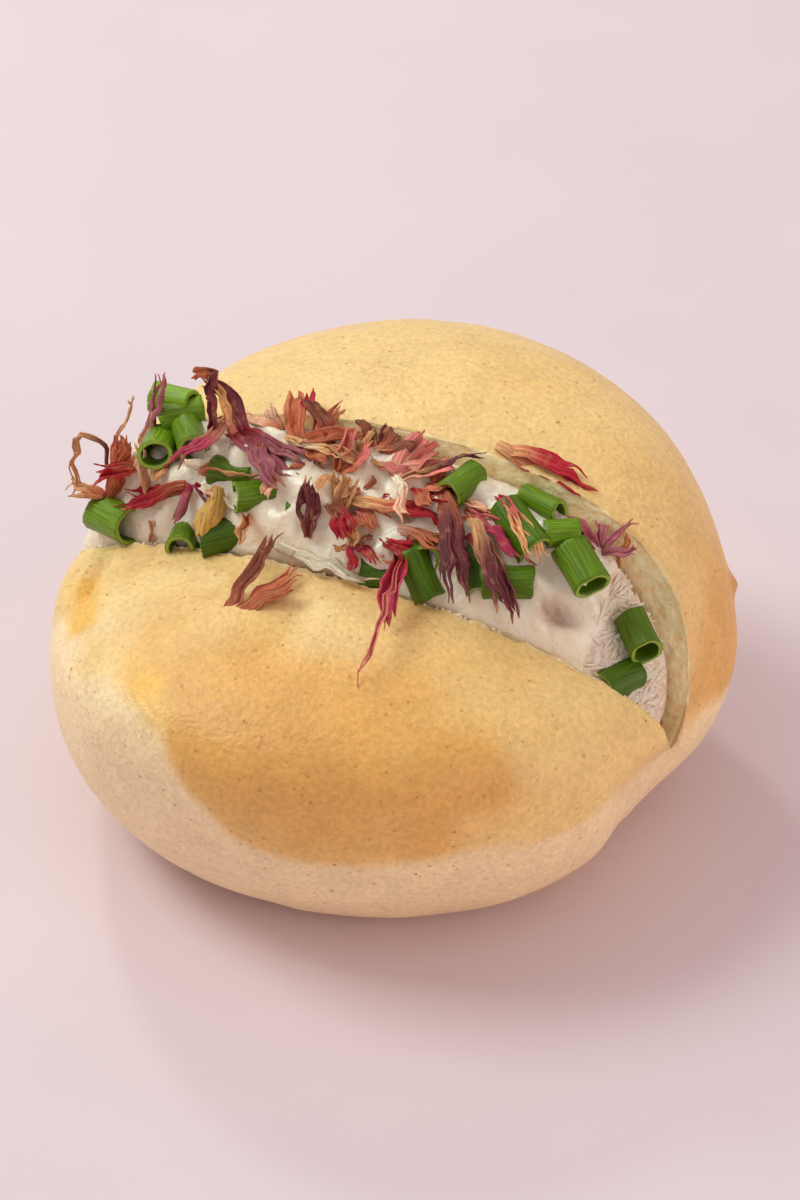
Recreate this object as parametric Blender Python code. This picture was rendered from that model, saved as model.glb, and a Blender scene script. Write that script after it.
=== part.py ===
"""A soft pale bun, slit along its top and filled with tuna mayonnaise.

The bun is one solid with an open cut and an uncut hinge under it. The filling
runs through the cut and carries cut chives and dried flower petals.

Lengths in this file are in millimetres and turn into metres when a mesh is
made. The origin is on the flat base, +X runs along the cut, +Y runs across it
towards the taller rear lobe, and +Z is up. An angle called phi goes once round
the bun: 0 and 180 degrees are the two ends of the cut, 90 degrees is the
middle of the rear lobe and 270 degrees the middle of the front lobe.
"""
import math

import bmesh
import bpy
import numpy as np
from mathutils import Vector
from mathutils.bvhtree import BVHTree

MM = 0.001
WALL_GAP = 0.55
CLEAR_GAP = 0.35

# The bun. Each pair holds the value of the front lobe and of the rear lobe, and
# the cleft's pair its depth at the left and at the right end of the cut.
CUT_Y = -5.5
BUN_X = 0.4
LOBE_HALF_LENGTH = (34.8, 42.0)
LOBE_REACH = (34.0, 41.3)
LOBE_SHIFT = (-3.0, -0.5)
WIDEST_HEIGHT = (24.0, 26.0)
CLEFT_DEPTH = (0.03, 0.13)
CLEFT_WIDTH = 0.26
BASE_HALF_LENGTH = 21.0
BASE_REACH = (16.5, 26.0)
BASE_Y = -7.0

# The edge of the cut, and the floor of the cut.
RIM_X = 0.5
RIM_HALF_LENGTH = 36.3
RIM_REACH = (7.3, 8.2)
RIM_FULLNESS = (0.88, 0.2)
RIM_SHIFT = (-1.0, 3.5)
RIM_RISE = (17.0, 26.5)
RIM_RISE_POWER = (0.88, 0.6)
RIM_ROLL_IN = (-8.0, 8.0)
NOTCH_HEIGHT = 18.0
NOTCH_LIP = 4.5
FLOOR_HALF_LENGTH = 29.5
FLOOR_HALF_WIDTH = 2.2
FLOOR_FULLNESS = 0.4
FLOOR_HEIGHT = 11.0

# How softly the front lobe's values turn into the rear lobe's at the ends of the
# cut, as shares of the sine of phi, and how fast the widest outline climbs there.
LOBE_BLEND = 0.35
RIM_BLEND = 0.25
OUTLINE_BLEND = 0.3
OUTLINE_CLIMB = 0.6

# The skin's curves: how far each handle reaches as a share of its curve's span.
BASE_BULGE = 0.6
BELLY_BULGE = 0.5
SIDE_BULGE = 0.58
SIDE_SPREAD = 0.35
SIDE_LEAN = 0.2
CROWN_BULGE = 0.66

# The filling, from the left end of the cut (-1) to its right end (+1).
PLACE_ALONG = (-1.0, -0.80, -0.45, 0.0, 0.45, 0.68, 0.80, 1.0)
HEAP_HEIGHT = (2.0, 6.0, 4.5, 2.4, 2.8, 2.6, 0.6, 0.0)
REAR_DROP = (0.5, 0.6, 1.4, 2.2, 2.2, 2.6, 3.6, 2.5)
FRONT_DROP = (0.5, 0.3, 0.2, 0.3, 0.5, 0.6, 1.0, 1.0)
REAR_GAP = (0.55, 0.55, 0.55, 0.55, 0.55, 0.7, 1.6, 0.7)
FILLING_END = 0.985
END_CLEARANCE = 0.985
DOME_FULLNESS = 0.7
LUMP_HEIGHT = 0.35
PLACE_BLEND = 0.06

# Triangles: how finely each surface is divided, and the share that is kept when
# the slivers of a union are merged.
BUN_SIDES = 72
CROWDING = 0.3
LOW_STEPS = 7
HIGH_STEPS = 11
WALL_STEPS = 6
FILLING_STATIONS = 38
TOP_STEPS = 9
CHIVE_SIDES = 8
PETAL_STEPS = 4
KEPT_SHARE = 0.62
SHARP_ANGLE = 50.0

# Chives: a hollow green stalk cut into short tubes. A row gives a piece's place
# (x, y), how far its axis lies over the filling, the way its axis points
# (heading, and pitch above level, in degrees), its length and its radius.
CHIVE_WALL = 0.5
CHIVES = (
    (-25.7, 0.5, 4.6, -5, 5, 5.5, 2.2),
    (-24.2, -0.6, 1.2, 35, 8, 5.0, 2.2),
    (-25.0, -5.0, 0.8, -75, 15, 5.0, 2.0),
    (-21.6, -4.0, 0.8, -55, 5, 4.5, 2.0),
    (-29.6, -8.2, 0.6, 60, 25, 6.0, 2.3),
    (-19.4, -10.6, -0.6, -80, 0, 4.5, 1.9),
    (-15.0, -10.8, -0.2, 35, 10, 5.0, 2.1),
    (-11.7, -8.4, 0.6, 32, 10, 4.5, 2.1),
    (-15.6, -6.0, -0.8, 5, 0, 4.5, 2.0),
    (-5.7, -7.4, -1.3, 20, 0, 5.0, 2.0),
    (9.3, -1.6, 0.9, 74, 0, 5.0, 2.1),
    (17.9, 0.8, 0.6, -12, -3, 5.0, 1.6),
    (17.2, -3.6, 0.2, -35, -15, 6.5, 2.4),
    (21.5, -2.1, 0.8, 30, 0, 3.5, 1.8),
    (24.8, -4.5, 0.9, -25, -35, 5.6, 2.2),
    (17.8, -8.4, 0.8, 23, 0, 5.6, 2.1),
    (14.2, -8.4, -0.2, -50, -30, 5.0, 2.0),
    (8.6, -10.4, 0.0, -35, -40, 5.5, 2.1),
    (7.8, -8.4, -0.2, -60, 20, 4.5, 2.1),
    (31.4, -3.6, 0.7, -20, -45, 5.0, 2.2),
    (30.6, -7.2, -0.5, 60, 0, 4.5, 1.9),
    (4.0, -10.6, -0.8, 15, 0, 4.5, 2.0),
)

# Dried petals: thin crinkled strips, one to four from a root, joined to the
# filling. A row gives the number of strips and the angle between them, the
# root's place (x, y) and its lift over the filling, heading and pitch in
# degrees, length, how far a strip bends over its length, and its width.
PETAL_THICKNESS = 0.55
PETAL_ROOT_WIDTH = 0.35
PETAL_BELLY = (0.12, 0.92)
PETAL_FLAT_AT = 0.3
ROOT_SPACING = (0.2, 0.15)
TILT_SPREAD = 6.0
LENGTH_SPREAD = (0.85, 1.05)
TWIST_SPREAD = 50.0
PETALS = (
    (3, 22, -30.6, -7.2, 0.0, 60, 74, 9.0, 10, 2.0),
    (1, 0, -30.4, -6.4, 6.4, 188, 80, 14.0, -165, 1.2),
    (1, 0, -30.0, -5.8, 5.0, 60, 80, 7.5, -20, 1.0),
    (2, 40, -30.6, -7.3, 1.8, 195, 8, 4.4, 0, 1.6),
    (2, 12, -28.5, -3.2, -0.5, 25, 72, 11.0, 10, 1.4),
    (1, 0, -18.6, -4.6, 0.4, 60, 80, 10.2, 10, 1.9),
    (1, 0, -15.6, -2.6, 0.0, 178, 95, 9.8, -75, 1.9),
    (1, 0, -17.8, -3.9, 8.6, 200, -5, 3.2, -20, 1.8),
    (1, 0, -17.4, -2.5, 0.8, 225, -20, 10.0, -6, 2.0),
    (1, 0, -20.6, -6.4, 0.4, 30, 12, 4.8, -20, 1.6),
    (1, 0, -24.0, -8.0, -0.3, 120, 78, 6.5, 10, 1.4),
    (3, 13, -19.6, -8.2, 0.5, 190, -22, 9.2, -12, 1.7),
    (2, 10, -18.8, -7.4, 0.6, 14, 14, 7.6, -30, 1.7),
    (2, 75, -19.5, -8.4, 1.2, -55, -18, 5.0, -40, 1.5),
    (1, 0, -18.4, -8.3, 1.0, -6, 4, 5.2, -10, 1.6),
    (1, 0, -16.4, -8.9, 0.2, -75, -32, 5.5, -20, 2.8),
    (1, 0, -24.0, -9.6, 0.3, -55, -40, 3.2, -30, 1.2),
    (3, 14, -17.2, -2.4, 0.6, -23, -3, 10.5, -12, 1.8),
    (1, 0, -15.2, -3.6, -0.2, 175, 66, 6.0, 15, 1.2),
    (4, 42, -8.6, -2.6, -0.4, 35, 22, 5.5, -20, 1.9),
    (1, 0, -4.6, -1.0, -0.2, 156, 32, 8.2, -18, 1.7),
    (1, 0, -9.2, -2.0, 0.4, -5, 15, 5.2, -35, 1.1),
    (1, 0, -1.8, 0.8, -0.5, 40, 76, 3.6, 0, 0.8),
    (2, 80, -0.8, 0.0, -0.3, 60, 22, 4.2, -10, 1.6),
    (3, 26, 2.7, -3.6, 0.6, 44, 20, 6.4, -12, 2.8),
    (1, 0, 2.7, -3.8, 1.4, -48, -2, 6.0, -22, 1.1),
    (1, 0, 4.4, -2.6, 0.6, 36, 15, 7.4, -8, 1.0),
    (3, 50, 4.8, -3.4, -0.2, 5, 20, 4.2, -15, 1.8),
    (3, 15, -4.4, -10.8, -0.5, 108, 42, 6.0, 5, 1.6),
    (3, 20, -1.8, -8.8, -0.5, 95, 38, 5.2, 10, 1.5),
    (3, 40, -0.4, -7.0, -0.3, -30, 22, 3.8, -50, 2.0),
    (2, 14, -3.2, -8.2, -0.2, -40, 6, 5.6, -25, 1.6),
    (2, 45, 0.4, -10.2, -0.2, -45, -5, 3.8, -20, 1.5),
    (2, 9, -1.2, -7.0, 0.5, 12, 8, 12.0, -12, 2.0),
    (2, 18, 4.8, -7.8, 0.2, -8, 8, 6.0, -20, 2.0),
    (2, 35, 3.4, -9.2, -0.2, -14, 8, 4.2, -20, 1.7),
    (1, 0, -8.4, -11.7, 0.4, -4, 6, 10.6, -14, 2.1),
    (1, 0, 6.0, -9.6, 0.6, -78, -4, 9.5, -24, 3.0),
    (1, 0, 6.6, -9.4, 0.9, -84, -2, 17.5, -26, 1.2),
    (2, 8, 7.0, -1.2, 0.6, -60, -5, 15.2, -34, 1.8),
    (2, 9, 12.2, -5.2, 0.4, -46, -8, 11.8, -40, 1.8),
    (2, 16, 12.2, -6.6, 0.6, -22, -8, 5.8, -16, 1.6),
    (3, 10, 10.8, -3.4, 0.4, -18, 6, 9.5, -34, 1.6),
    (2, 10, 13.8, -2.0, 0.8, -36, 2, 10.2, -46, 1.5),
    (4, 58, 25.4, -0.6, 0.0, 80, 36, 4.6, -10, 1.5),
    (1, 0, 27.4, -0.2, 0.0, 75, 68, 5.0, 10, 0.9),
)

# More petals lie on the bread: a spray on the front lobe and one along the edge
# of the rear lobe. A row has the same numbers, over the skin of the bun.
PETALS_ON_BREAD = (
    (1, 0, -9.6, -22.0, -0.3, 84, 24, 11.5, 0, 2.0),
    (2, 14, -9.4, -22.0, -0.3, 58, 18, 9.5, 0, 1.7),
    (2, 5, 11.4, 4.9, -0.2, 0, -4, 12.0, -14, 2.2),
)

SEED = 11


def mix(pair, weight):
    """Blend from the front lobe's value to the rear lobe's."""
    return pair[0] + (pair[1] - pair[0]) * weight


def rear_weight(phi):
    """0 on the front lobe and 1 on the rear lobe, blended at the cut's ends."""
    return 0.5 * (1.0 + np.tanh(np.sin(phi) / LOBE_BLEND))


def soft_rise(s, soft=0.12):
    """0 at the ends of the cut and 1 in the middle of a lobe, with no kink."""
    return (np.sqrt(s * s + soft * soft) - soft) / (math.sqrt(1.0 + soft * soft) - soft)


def soft_power(s, power, soft=0.04):
    """The sign of s times a power of its size, with no kink at 0."""
    return s * (s * s + soft * soft) ** ((power - 1.0) / 2.0)


def widest_outline(phi):
    """Where the bun is widest: two half ovals that meet in a cleft at each end."""
    c, s, rear = np.cos(phi), np.sin(phi), rear_weight(phi)
    cleft = 1.0 - mix(CLEFT_DEPTH, 0.5 + 0.5 * c) * np.exp(-(s / CLEFT_WIDTH) ** 2)
    low = NOTCH_HEIGHT - NOTCH_LIP
    x = BUN_X + mix(LOBE_HALF_LENGTH, rear) * c * cleft + mix(LOBE_SHIFT, rear) * s * s
    y = CUT_Y + mix(LOBE_REACH, rear) * s
    z = low + (mix(WIDEST_HEIGHT, rear) - low) * soft_rise(s, OUTLINE_BLEND) ** OUTLINE_CLIMB
    return np.stack([x, y, z], axis=-1)


def base_outline(phi):
    """The edge of the flat base: two half ovals."""
    c, s = np.cos(phi), np.sin(phi)
    y = BASE_Y + mix(BASE_REACH, rear_weight(phi)) * s
    return np.stack([BASE_HALF_LENGTH * c, y, 0.0 * c], axis=-1)


def rim(phi):
    """The edge of the cut: low at both ends, higher on the rear lobe."""
    c, s, rear = np.cos(phi), np.sin(phi), rear_weight(phi)
    x = RIM_X + RIM_HALF_LENGTH * c + mix(RIM_SHIFT, rear) * s * s
    front = RIM_REACH[0] * soft_power(s, RIM_FULLNESS[0])
    back = RIM_REACH[1] * soft_power(s, RIM_FULLNESS[1])
    rise = soft_rise(s)
    front_rise = RIM_RISE[0] * rise ** RIM_RISE_POWER[0]
    back_rise = RIM_RISE[1] * rise ** RIM_RISE_POWER[1]
    y = CUT_Y + front * (1.0 - rear) + back * rear
    z = NOTCH_HEIGHT + front_rise * (1.0 - rear) + back_rise * rear
    return np.stack([x, y, z], axis=-1)


def rim_direction(phi):
    """The way the skin runs as it reaches the cut: across, rolling in or out."""
    s = np.sin(phi)
    roll = np.radians(mix(RIM_ROLL_IN, rear_weight(phi))) * np.abs(s)
    inwards = -np.tanh(s / RIM_BLEND) * np.cos(roll)
    return np.stack([0.0 * s, inwards, -np.sin(roll)], axis=-1)


def cut_floor(phi):
    """The bottom of the cut: a long narrow oval."""
    c, s = np.cos(phi), np.sin(phi)
    y = CUT_Y + FLOOR_HALF_WIDTH * soft_power(s, FLOOR_FULLNESS)
    return np.stack([FLOOR_HALF_LENGTH * c, y, FLOOR_HEIGHT + 0.0 * c], axis=-1)


def bezier(start, start_handle, end_handle, end, steps):
    """Rings along a cubic curve from one outline to another, both included."""
    t = np.linspace(0.0, 1.0, steps)[:, None, None]
    u = 1.0 - t
    first_half = u**3 * start + 3.0 * u**2 * t * start_handle
    return first_half + 3.0 * u * t**2 * end_handle + t**3 * end


def round_the_bun(sides):
    """Angles round the bun, closer together at the two ends of the cut."""
    turn = np.linspace(0.0, 2.0 * math.pi, sides, endpoint=False)
    return turn - CROWDING * np.sin(2.0 * turn)


def bun_rings(phi):
    """Rings from the base over the skin to the rim and down into the cut."""
    base, widest, edge = base_outline(phi), widest_outline(phi), rim(phi)
    along_cut, up = np.array([1.0, 0.0, 0.0]), np.array([0.0, 0.0, 1.0])
    out = (widest - base) * (1.0 - up)
    under = widest - BELLY_BULGE * up * widest[:, 2:3]
    low = bezier(base, base + BASE_BULGE * out, under, widest, LOW_STEPS)
    across = np.abs(edge - widest)[:, 1:2]
    higher = np.abs(edge - widest)[:, 2:3]
    climb = SIDE_SPREAD * across + (1.0 - SIDE_SPREAD) * higher
    side = widest + SIDE_LEAN * (edge - widest) * along_cut + SIDE_BULGE * up * climb
    crown = edge - CROWN_BULGE * rim_direction(phi) * across
    high = bezier(widest, side, crown, edge, HIGH_STEPS)
    depth = np.linspace(0.0, 1.0, WALL_STEPS)[:, None, None]
    wall = edge * (1.0 - depth) + cut_floor(phi) * depth
    return np.concatenate([low, high[1:], wall[1:]])


def rings_to_mesh(rings, first_pole, last_pole):
    """Join rings of equal length into one closed skin with a pole at each end."""
    count, sides = rings.shape[:2]
    points = np.concatenate([rings.reshape(-1, 3), [first_pole, last_pole]])
    ring, side = np.meshgrid(np.arange(count - 1), np.arange(sides), indexing="ij")
    after = (side + 1) % sides
    a, b = ring * sides + side, ring * sides + after
    c, d = (ring + 1) * sides + after, (ring + 1) * sides + side
    faces = np.concatenate([np.stack([a, b, c], -1).reshape(-1, 3),
                            np.stack([a, c, d], -1).reshape(-1, 3)])
    k = np.arange(sides)
    k_after = (k + 1) % sides
    start, end = count * sides, count * sides + 1
    last = (count - 1) * sides
    first_fan = np.stack([np.full(sides, start), k_after, k], -1)
    last_fan = np.stack([np.full(sides, end), last + k, last + k_after], -1)
    return points, np.concatenate([faces, first_fan, last_fan])


def volume_of(points, faces):
    """Signed volume: positive when the faces point outwards."""
    a, b, c = (points[faces[:, k]] for k in range(3))
    return float(np.einsum("ij,ij->i", a, np.cross(b, c)).sum() / 6.0)


def facing_out(points, faces):
    """The same closed shape with its faces turned outwards."""
    if volume_of(points, faces) < 0.0:
        faces = faces[:, ::-1]
    return points, faces


def bun_shape():
    """The bun: closed by the flat base below and by the floor of the cut inside."""
    rings = bun_rings(round_the_bun(BUN_SIDES))
    base_middle = (0.0, BASE_Y, 0.0)
    floor_middle = (0.0, CUT_Y, FLOOR_HEIGHT)
    return facing_out(*rings_to_mesh(rings, base_middle, floor_middle))


def along(values, place):
    """Read one of the filling's rows of values, smoothly, at a place along the cut."""
    steps = np.linspace(-PLACE_BLEND, PLACE_BLEND, 7)
    spread = np.asarray(place)[..., None] + steps
    return np.interp(spread, PLACE_ALONG, values).mean(axis=-1)


def wall_edge(place, side, drop, gap):
    """A point on the cut's wall, some way under the rim and clear of the bread."""
    phi = side * np.arccos(place)
    edge, floor = rim(phi), cut_floor(phi)
    depth = (drop / (edge[:, 2] - floor[:, 2]))[:, None]
    point = edge * (1.0 - depth) + floor * depth
    point[:, 0] *= END_CLEARANCE
    point[:, 1] -= side * gap
    return point


def lumps(x, y):
    """Low soft lumps of the mayonnaise: a few crossing waves."""
    return LUMP_HEIGHT * (np.sin(0.75 * x + 0.9 * y) + np.sin(1.15 * x - 0.8 * y + 1.3)
                          + 0.8 * np.sin(0.45 * x + 1.6 * y + 4.0))


def filling_top(place, across):
    """The heaped top: across 0 is the front edge of the filling and 1 its rear."""
    front = wall_edge(place, -1.0, along(FRONT_DROP, place), WALL_GAP)
    rear = wall_edge(place, 1.0, along(REAR_DROP, place), along(REAR_GAP, place))
    v = across[None, :, None]
    top = front[:, None, :] * (1.0 - v) + rear[:, None, :] * v
    dome = (1.0 - (2.0 * across - 1.0) ** 2) ** DOME_FULLNESS
    heap = along(HEAP_HEIGHT, place)[:, None] * dome[None, :]
    top[..., 2] += heap + lumps(top[..., 0], top[..., 1]) * dome[None, :]
    return top


def filling_core():
    """A loft along the cut: over the heaped top, down one wall, up the other."""
    turn = np.linspace(-0.5 * math.pi, 0.5 * math.pi, FILLING_STATIONS)
    place = FILLING_END * np.sin(turn)
    top = filling_top(place, np.linspace(0.0, 1.0, TOP_STEPS))
    rear, front = top[:, -1], top[:, 0]
    floor_rear = wall_edge(place, 1.0, rim(np.arccos(place))[:, 2] - FLOOR_HEIGHT, WALL_GAP)
    floor_front = wall_edge(place, -1.0, rim(-np.arccos(place))[:, 2] - FLOOR_HEIGHT, WALL_GAP)
    for floor in (floor_rear, floor_front):
        floor[:, 2] += WALL_GAP
    down = [rear + (floor_rear - rear) * t for t in (0.33, 0.67, 1.0)]
    up = [floor_front + (front - floor_front) * t for t in (0.0, 0.33, 0.67)]
    loops = np.concatenate([top, np.stack(down + up, axis=1)], axis=1)
    start, end = loops[0].mean(axis=0), loops[-1].mean(axis=0)
    return facing_out(*rings_to_mesh(loops, start, end))


def direction(heading, pitch):
    """Unit vectors from a heading and a pitch in degrees."""
    h, p = np.radians(heading), np.radians(pitch)
    return np.stack([np.cos(h) * np.cos(p), np.sin(h) * np.cos(p), np.sin(p)], axis=-1)


def chive_shape(middle, heading, pitch, length, radius):
    """A short tube: outer wall, a flat ring at each end, and the bore."""
    axis = direction(heading, pitch)
    side = direction(heading + 90.0, 0.0)
    top = np.cross(axis, side)
    turn = np.linspace(0.0, 2.0 * math.pi, CHIVE_SIDES, endpoint=False)[:, None]
    circle = np.cos(turn) * side + np.sin(turn) * top
    bore = radius - CHIVE_WALL
    corners = ((radius, -0.5), (radius, 0.5), (bore, 0.5), (bore, -0.5))
    rings = np.stack([middle + circle * r + axis * length * t for r, t in corners])
    count = len(corners)
    ring, k = np.meshgrid(np.arange(count), np.arange(CHIVE_SIDES), indexing="ij")
    k_after, ring_after = (k + 1) % CHIVE_SIDES, (ring + 1) % count
    a, b = ring * CHIVE_SIDES + k, ring * CHIVE_SIDES + k_after
    c, d = ring_after * CHIVE_SIDES + k_after, ring_after * CHIVE_SIDES + k
    faces = np.concatenate([np.stack([a, b, c], -1).reshape(-1, 3),
                            np.stack([a, c, d], -1).reshape(-1, 3)])
    return facing_out(rings.reshape(-1, 3), faces)


def petal_shape(root, heading, pitch, length, bend, width, twist):
    """A thin strip along a bending path, narrow at its root and at its tip.

    The pitch changes evenly along the strip and its flat side turns by the
    twist. Each cross-section is a thin oblong, and the tip and the root close.
    """
    s = np.linspace(0.0, 1.0, PETAL_STEPS + 1)
    ways = direction(heading, pitch + bend * 0.5 * (s[1:] + s[:-1]))
    walked = np.cumsum(ways * length / PETAL_STEPS, axis=0)
    path = root + np.concatenate([np.zeros((1, 3)), walked])
    tangent = direction(heading, pitch + bend * s)
    flat = np.broadcast_to(direction(heading + 90.0, 0.0), tangent.shape)
    up = np.cross(tangent, flat)
    roll = np.radians(twist * (s - PETAL_FLAT_AT))[:, None]
    across = flat * np.cos(roll) + up * np.sin(roll)
    normal = up * np.cos(roll) - flat * np.sin(roll)
    belly = np.sin(math.pi * (PETAL_BELLY[0] * (1.0 - s) + PETAL_BELLY[1] * s))
    half = 0.5 * width * (PETAL_ROOT_WIDTH + (1.0 - PETAL_ROOT_WIDTH) * belly)[:, None]
    thick = 0.5 * PETAL_THICKNESS
    oblong = ((-1, -1), (1, -1), (1, 1), (-1, 1))
    corners = [across * half * a + normal * thick * b for a, b in oblong]
    rings = path[:, None, :] + np.stack(corners, axis=1)
    return facing_out(*rings_to_mesh(rings, path[0], path[-1]))


def spray_of_petals(row, surface, random):
    """The strips of one row: fanned out from a root that lies on a surface."""
    strips, spread, x, y, lift, heading, pitch, length, bend, width = row
    root = np.array([x, y, height_over(surface, x, y) + lift])
    for k in range(strips):
        fan = spread * (k - 0.5 * (strips - 1))
        offset = ROOT_SPACING[0] + ROOT_SPACING[1] * k
        start = root + direction(heading + fan, 0.0) * offset
        tilt = random.uniform(-TILT_SPREAD, TILT_SPREAD)
        scale = random.uniform(*LENGTH_SPREAD)
        twist = random.uniform(-TWIST_SPREAD, TWIST_SPREAD)
        yield petal_shape(start, heading + fan, pitch + tilt, length * scale, bend, width, twist)


def height_over(surface, x, y):
    """Height of a surface straight above or below a place on the table."""
    hit = surface.ray_cast(Vector((x, y, 100.0)), Vector((0.0, 0.0, -1.0)))
    return hit[0].z


def tree_of(shape):
    """A closed shape as a tree that a ray can be cast against."""
    points, faces = shape
    return BVHTree.FromPolygons(points.tolist(), faces.tolist())


def material(name, colour, roughness):
    """A plain opaque material."""
    made = bpy.data.materials.new(name)
    made.use_nodes = True
    shader = made.node_tree.nodes["Principled BSDF"]
    shader.inputs["Base Color"].default_value = (*colour, 1.0)
    shader.inputs["Roughness"].default_value = roughness
    shader.inputs["Metallic"].default_value = 0.0
    return made


def add_object(name, shape, collection):
    """Make a mesh object in metres from points in millimetres."""
    points, faces = shape
    mesh = bpy.data.meshes.new(name)
    mesh.from_pydata((points * MM).tolist(), [], faces.tolist())
    mesh.validate()
    made = bpy.data.objects.new(name, mesh)
    collection.objects.link(made)
    return made


def apply_modifiers(thing):
    """Swap the object's mesh for the one that its modifiers make."""
    seen = thing.evaluated_get(bpy.context.evaluated_depsgraph_get())
    old, new = thing.data, bpy.data.meshes.new_from_object(seen)
    thing.modifiers.clear()
    thing.data = new
    bpy.data.meshes.remove(old)
    new.name = thing.name


def fuse(thing, shapes):
    """Join closed shapes to an object with one Boolean union."""
    group = bpy.data.collections.new("to_fuse")
    bpy.context.scene.collection.children.link(group)
    for number, shape in enumerate(shapes):
        add_object(f"loose_{number:03d}", shape, group)
    union = thing.modifiers.new("fuse", "BOOLEAN")
    union.operation = "UNION"
    union.operand_type = "COLLECTION"
    union.collection = group
    union.solver = "EXACT"
    apply_modifiers(thing)
    for made in list(group.objects):
        bpy.data.objects.remove(made)
    bpy.data.collections.remove(group)
    keep_largest_shell(thing)


def cut_clear_of(thing, neighbour):
    """Cut an object back to the gap that it keeps from its neighbour."""
    grown = bpy.data.objects.new("grown", neighbour.data.copy())
    bpy.context.scene.collection.objects.link(grown)
    grown.hide_render = True
    grown.display_type = "WIRE"
    normals = [vertex.normal.copy() for vertex in grown.data.vertices]
    for vertex, normal in zip(grown.data.vertices, normals):
        vertex.co += normal * CLEAR_GAP * MM
    cut = thing.modifiers.new("clear", "BOOLEAN")
    cut.operation = "DIFFERENCE"
    cut.object = grown
    cut.solver = "EXACT"
    apply_modifiers(thing)
    bpy.data.objects.remove(grown)
    keep_largest_shell(thing)


def thin_out(thing, share):
    """Merge the slivers that a union leaves, down to a share of the triangles."""
    thin = thing.modifiers.new("thin", "DECIMATE")
    thin.ratio = share
    apply_modifiers(thing)
    keep_largest_shell(thing)


def keep_largest_shell(thing):
    """Drop sealed hollows and loose scraps: keep the shell of the most volume."""
    work = bmesh.new()
    work.from_mesh(thing.data)
    bmesh.ops.triangulate(work, faces=work.faces)
    waiting = set(work.faces)
    shells = []
    while waiting:
        front = [waiting.pop()]
        shell = list(front)
        while front:
            face = front.pop()
            near = {f for edge in face.edges for f in edge.link_faces} & waiting
            waiting -= near
            shell.extend(near)
            front.extend(near)
        shells.append(shell)
    shells.sort(key=shell_volume)
    extra = [face for shell in shells[:-1] for face in shell]
    bmesh.ops.delete(work, geom=extra, context="FACES")
    work.to_mesh(thing.data)
    work.free()


def shell_volume(shell):
    """Signed volume of a closed set of faces."""
    corners = (tuple(vertex.co for vertex in face.verts) for face in shell)
    return sum(a.dot(b.cross(c)) for a, b, c in corners)


def finish(thing, look):
    """Give the object its material and shade its round parts smooth."""
    thing.data.materials.clear()
    thing.data.materials.append(look)
    thing.data.shade_smooth()
    thing.data.set_sharp_from_angle(angle=math.radians(SHARP_ANGLE))


def main():
    """Build the two sub-parts, each with everything that is fused to it."""
    for old in list(bpy.data.objects):
        bpy.data.objects.remove(old)
    room = bpy.context.scene.collection
    random = np.random.default_rng(SEED)

    bread, core = bun_shape(), filling_core()
    skin, heap = tree_of(bread), tree_of(core)
    chives = []
    for x, y, lift, heading, pitch, length, radius in CHIVES:
        middle = np.array([x, y, height_over(heap, x, y) + lift])
        chives.append(chive_shape(middle, heading, pitch, length, radius))
    petals = [petal for row in PETALS for petal in spray_of_petals(row, heap, random)]
    on_bread = [petal for row in PETALS_ON_BREAD for petal in spray_of_petals(row, skin, random)]

    bun = add_object("bun", bread, room)
    fuse(bun, on_bread)
    filling = add_object("filling", core, room)
    fuse(filling, chives + petals)
    cut_clear_of(filling, bun)
    thin_out(filling, KEPT_SHARE)
    finish(bun, material("bread", (0.80, 0.60, 0.33), 0.55))
    finish(filling, material("tuna_mayonnaise", (0.80, 0.68, 0.56), 0.45))


main()
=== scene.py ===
"""Dresses the tuna bun: bread, filling, onion tubes, petals, tuna shreds, crumbs.

Lengths in this file are in millimetres and turn into metres when a mesh is made.
The frame is the model's own: +X runs along the cut, +Y across it towards the
taller rear lobe, +Z up from the flat base. An angle called phi goes once round
the bun: 0 and 180 degrees are the two ends of the cut, 90 degrees is the middle
of the rear lobe and 270 degrees the middle of the front lobe.
"""
import itertools
import math

import bpy
import numpy as np
from bpy.props import (FloatProperty, FloatVectorProperty, IntProperty,
                       PointerProperty)
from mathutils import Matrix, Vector
from mathutils.bvhtree import BVHTree


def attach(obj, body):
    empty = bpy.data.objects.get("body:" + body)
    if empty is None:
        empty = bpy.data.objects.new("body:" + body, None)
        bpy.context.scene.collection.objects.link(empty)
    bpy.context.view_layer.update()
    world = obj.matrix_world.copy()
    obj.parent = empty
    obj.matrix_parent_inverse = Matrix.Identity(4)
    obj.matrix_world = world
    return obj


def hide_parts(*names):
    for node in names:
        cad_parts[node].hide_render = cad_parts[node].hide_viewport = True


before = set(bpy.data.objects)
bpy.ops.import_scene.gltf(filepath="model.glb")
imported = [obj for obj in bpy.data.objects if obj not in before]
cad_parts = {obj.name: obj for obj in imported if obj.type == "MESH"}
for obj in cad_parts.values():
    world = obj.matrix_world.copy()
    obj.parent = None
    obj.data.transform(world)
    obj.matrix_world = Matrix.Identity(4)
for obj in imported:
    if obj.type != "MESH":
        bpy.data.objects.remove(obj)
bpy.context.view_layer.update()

bl_info = {
    "name": "Tuna Bun",
    "version": (1, 0, 0),
    "blender": (4, 5, 0),
    "location": "3D View > Sidebar > Tuna Bun",
    "description": "Builds a filled bread bun with onion tubes and dried petals",
    "category": "Object",
}

MM = 0.001
SEED = 11
RAY_HEIGHT = 100.0
GRID_REPEAT = 32
GRID_MIDDLE = 512.0
FLOW = "along_and_across"
SUBSURFACE_DEPTH_M = 0.05

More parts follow.
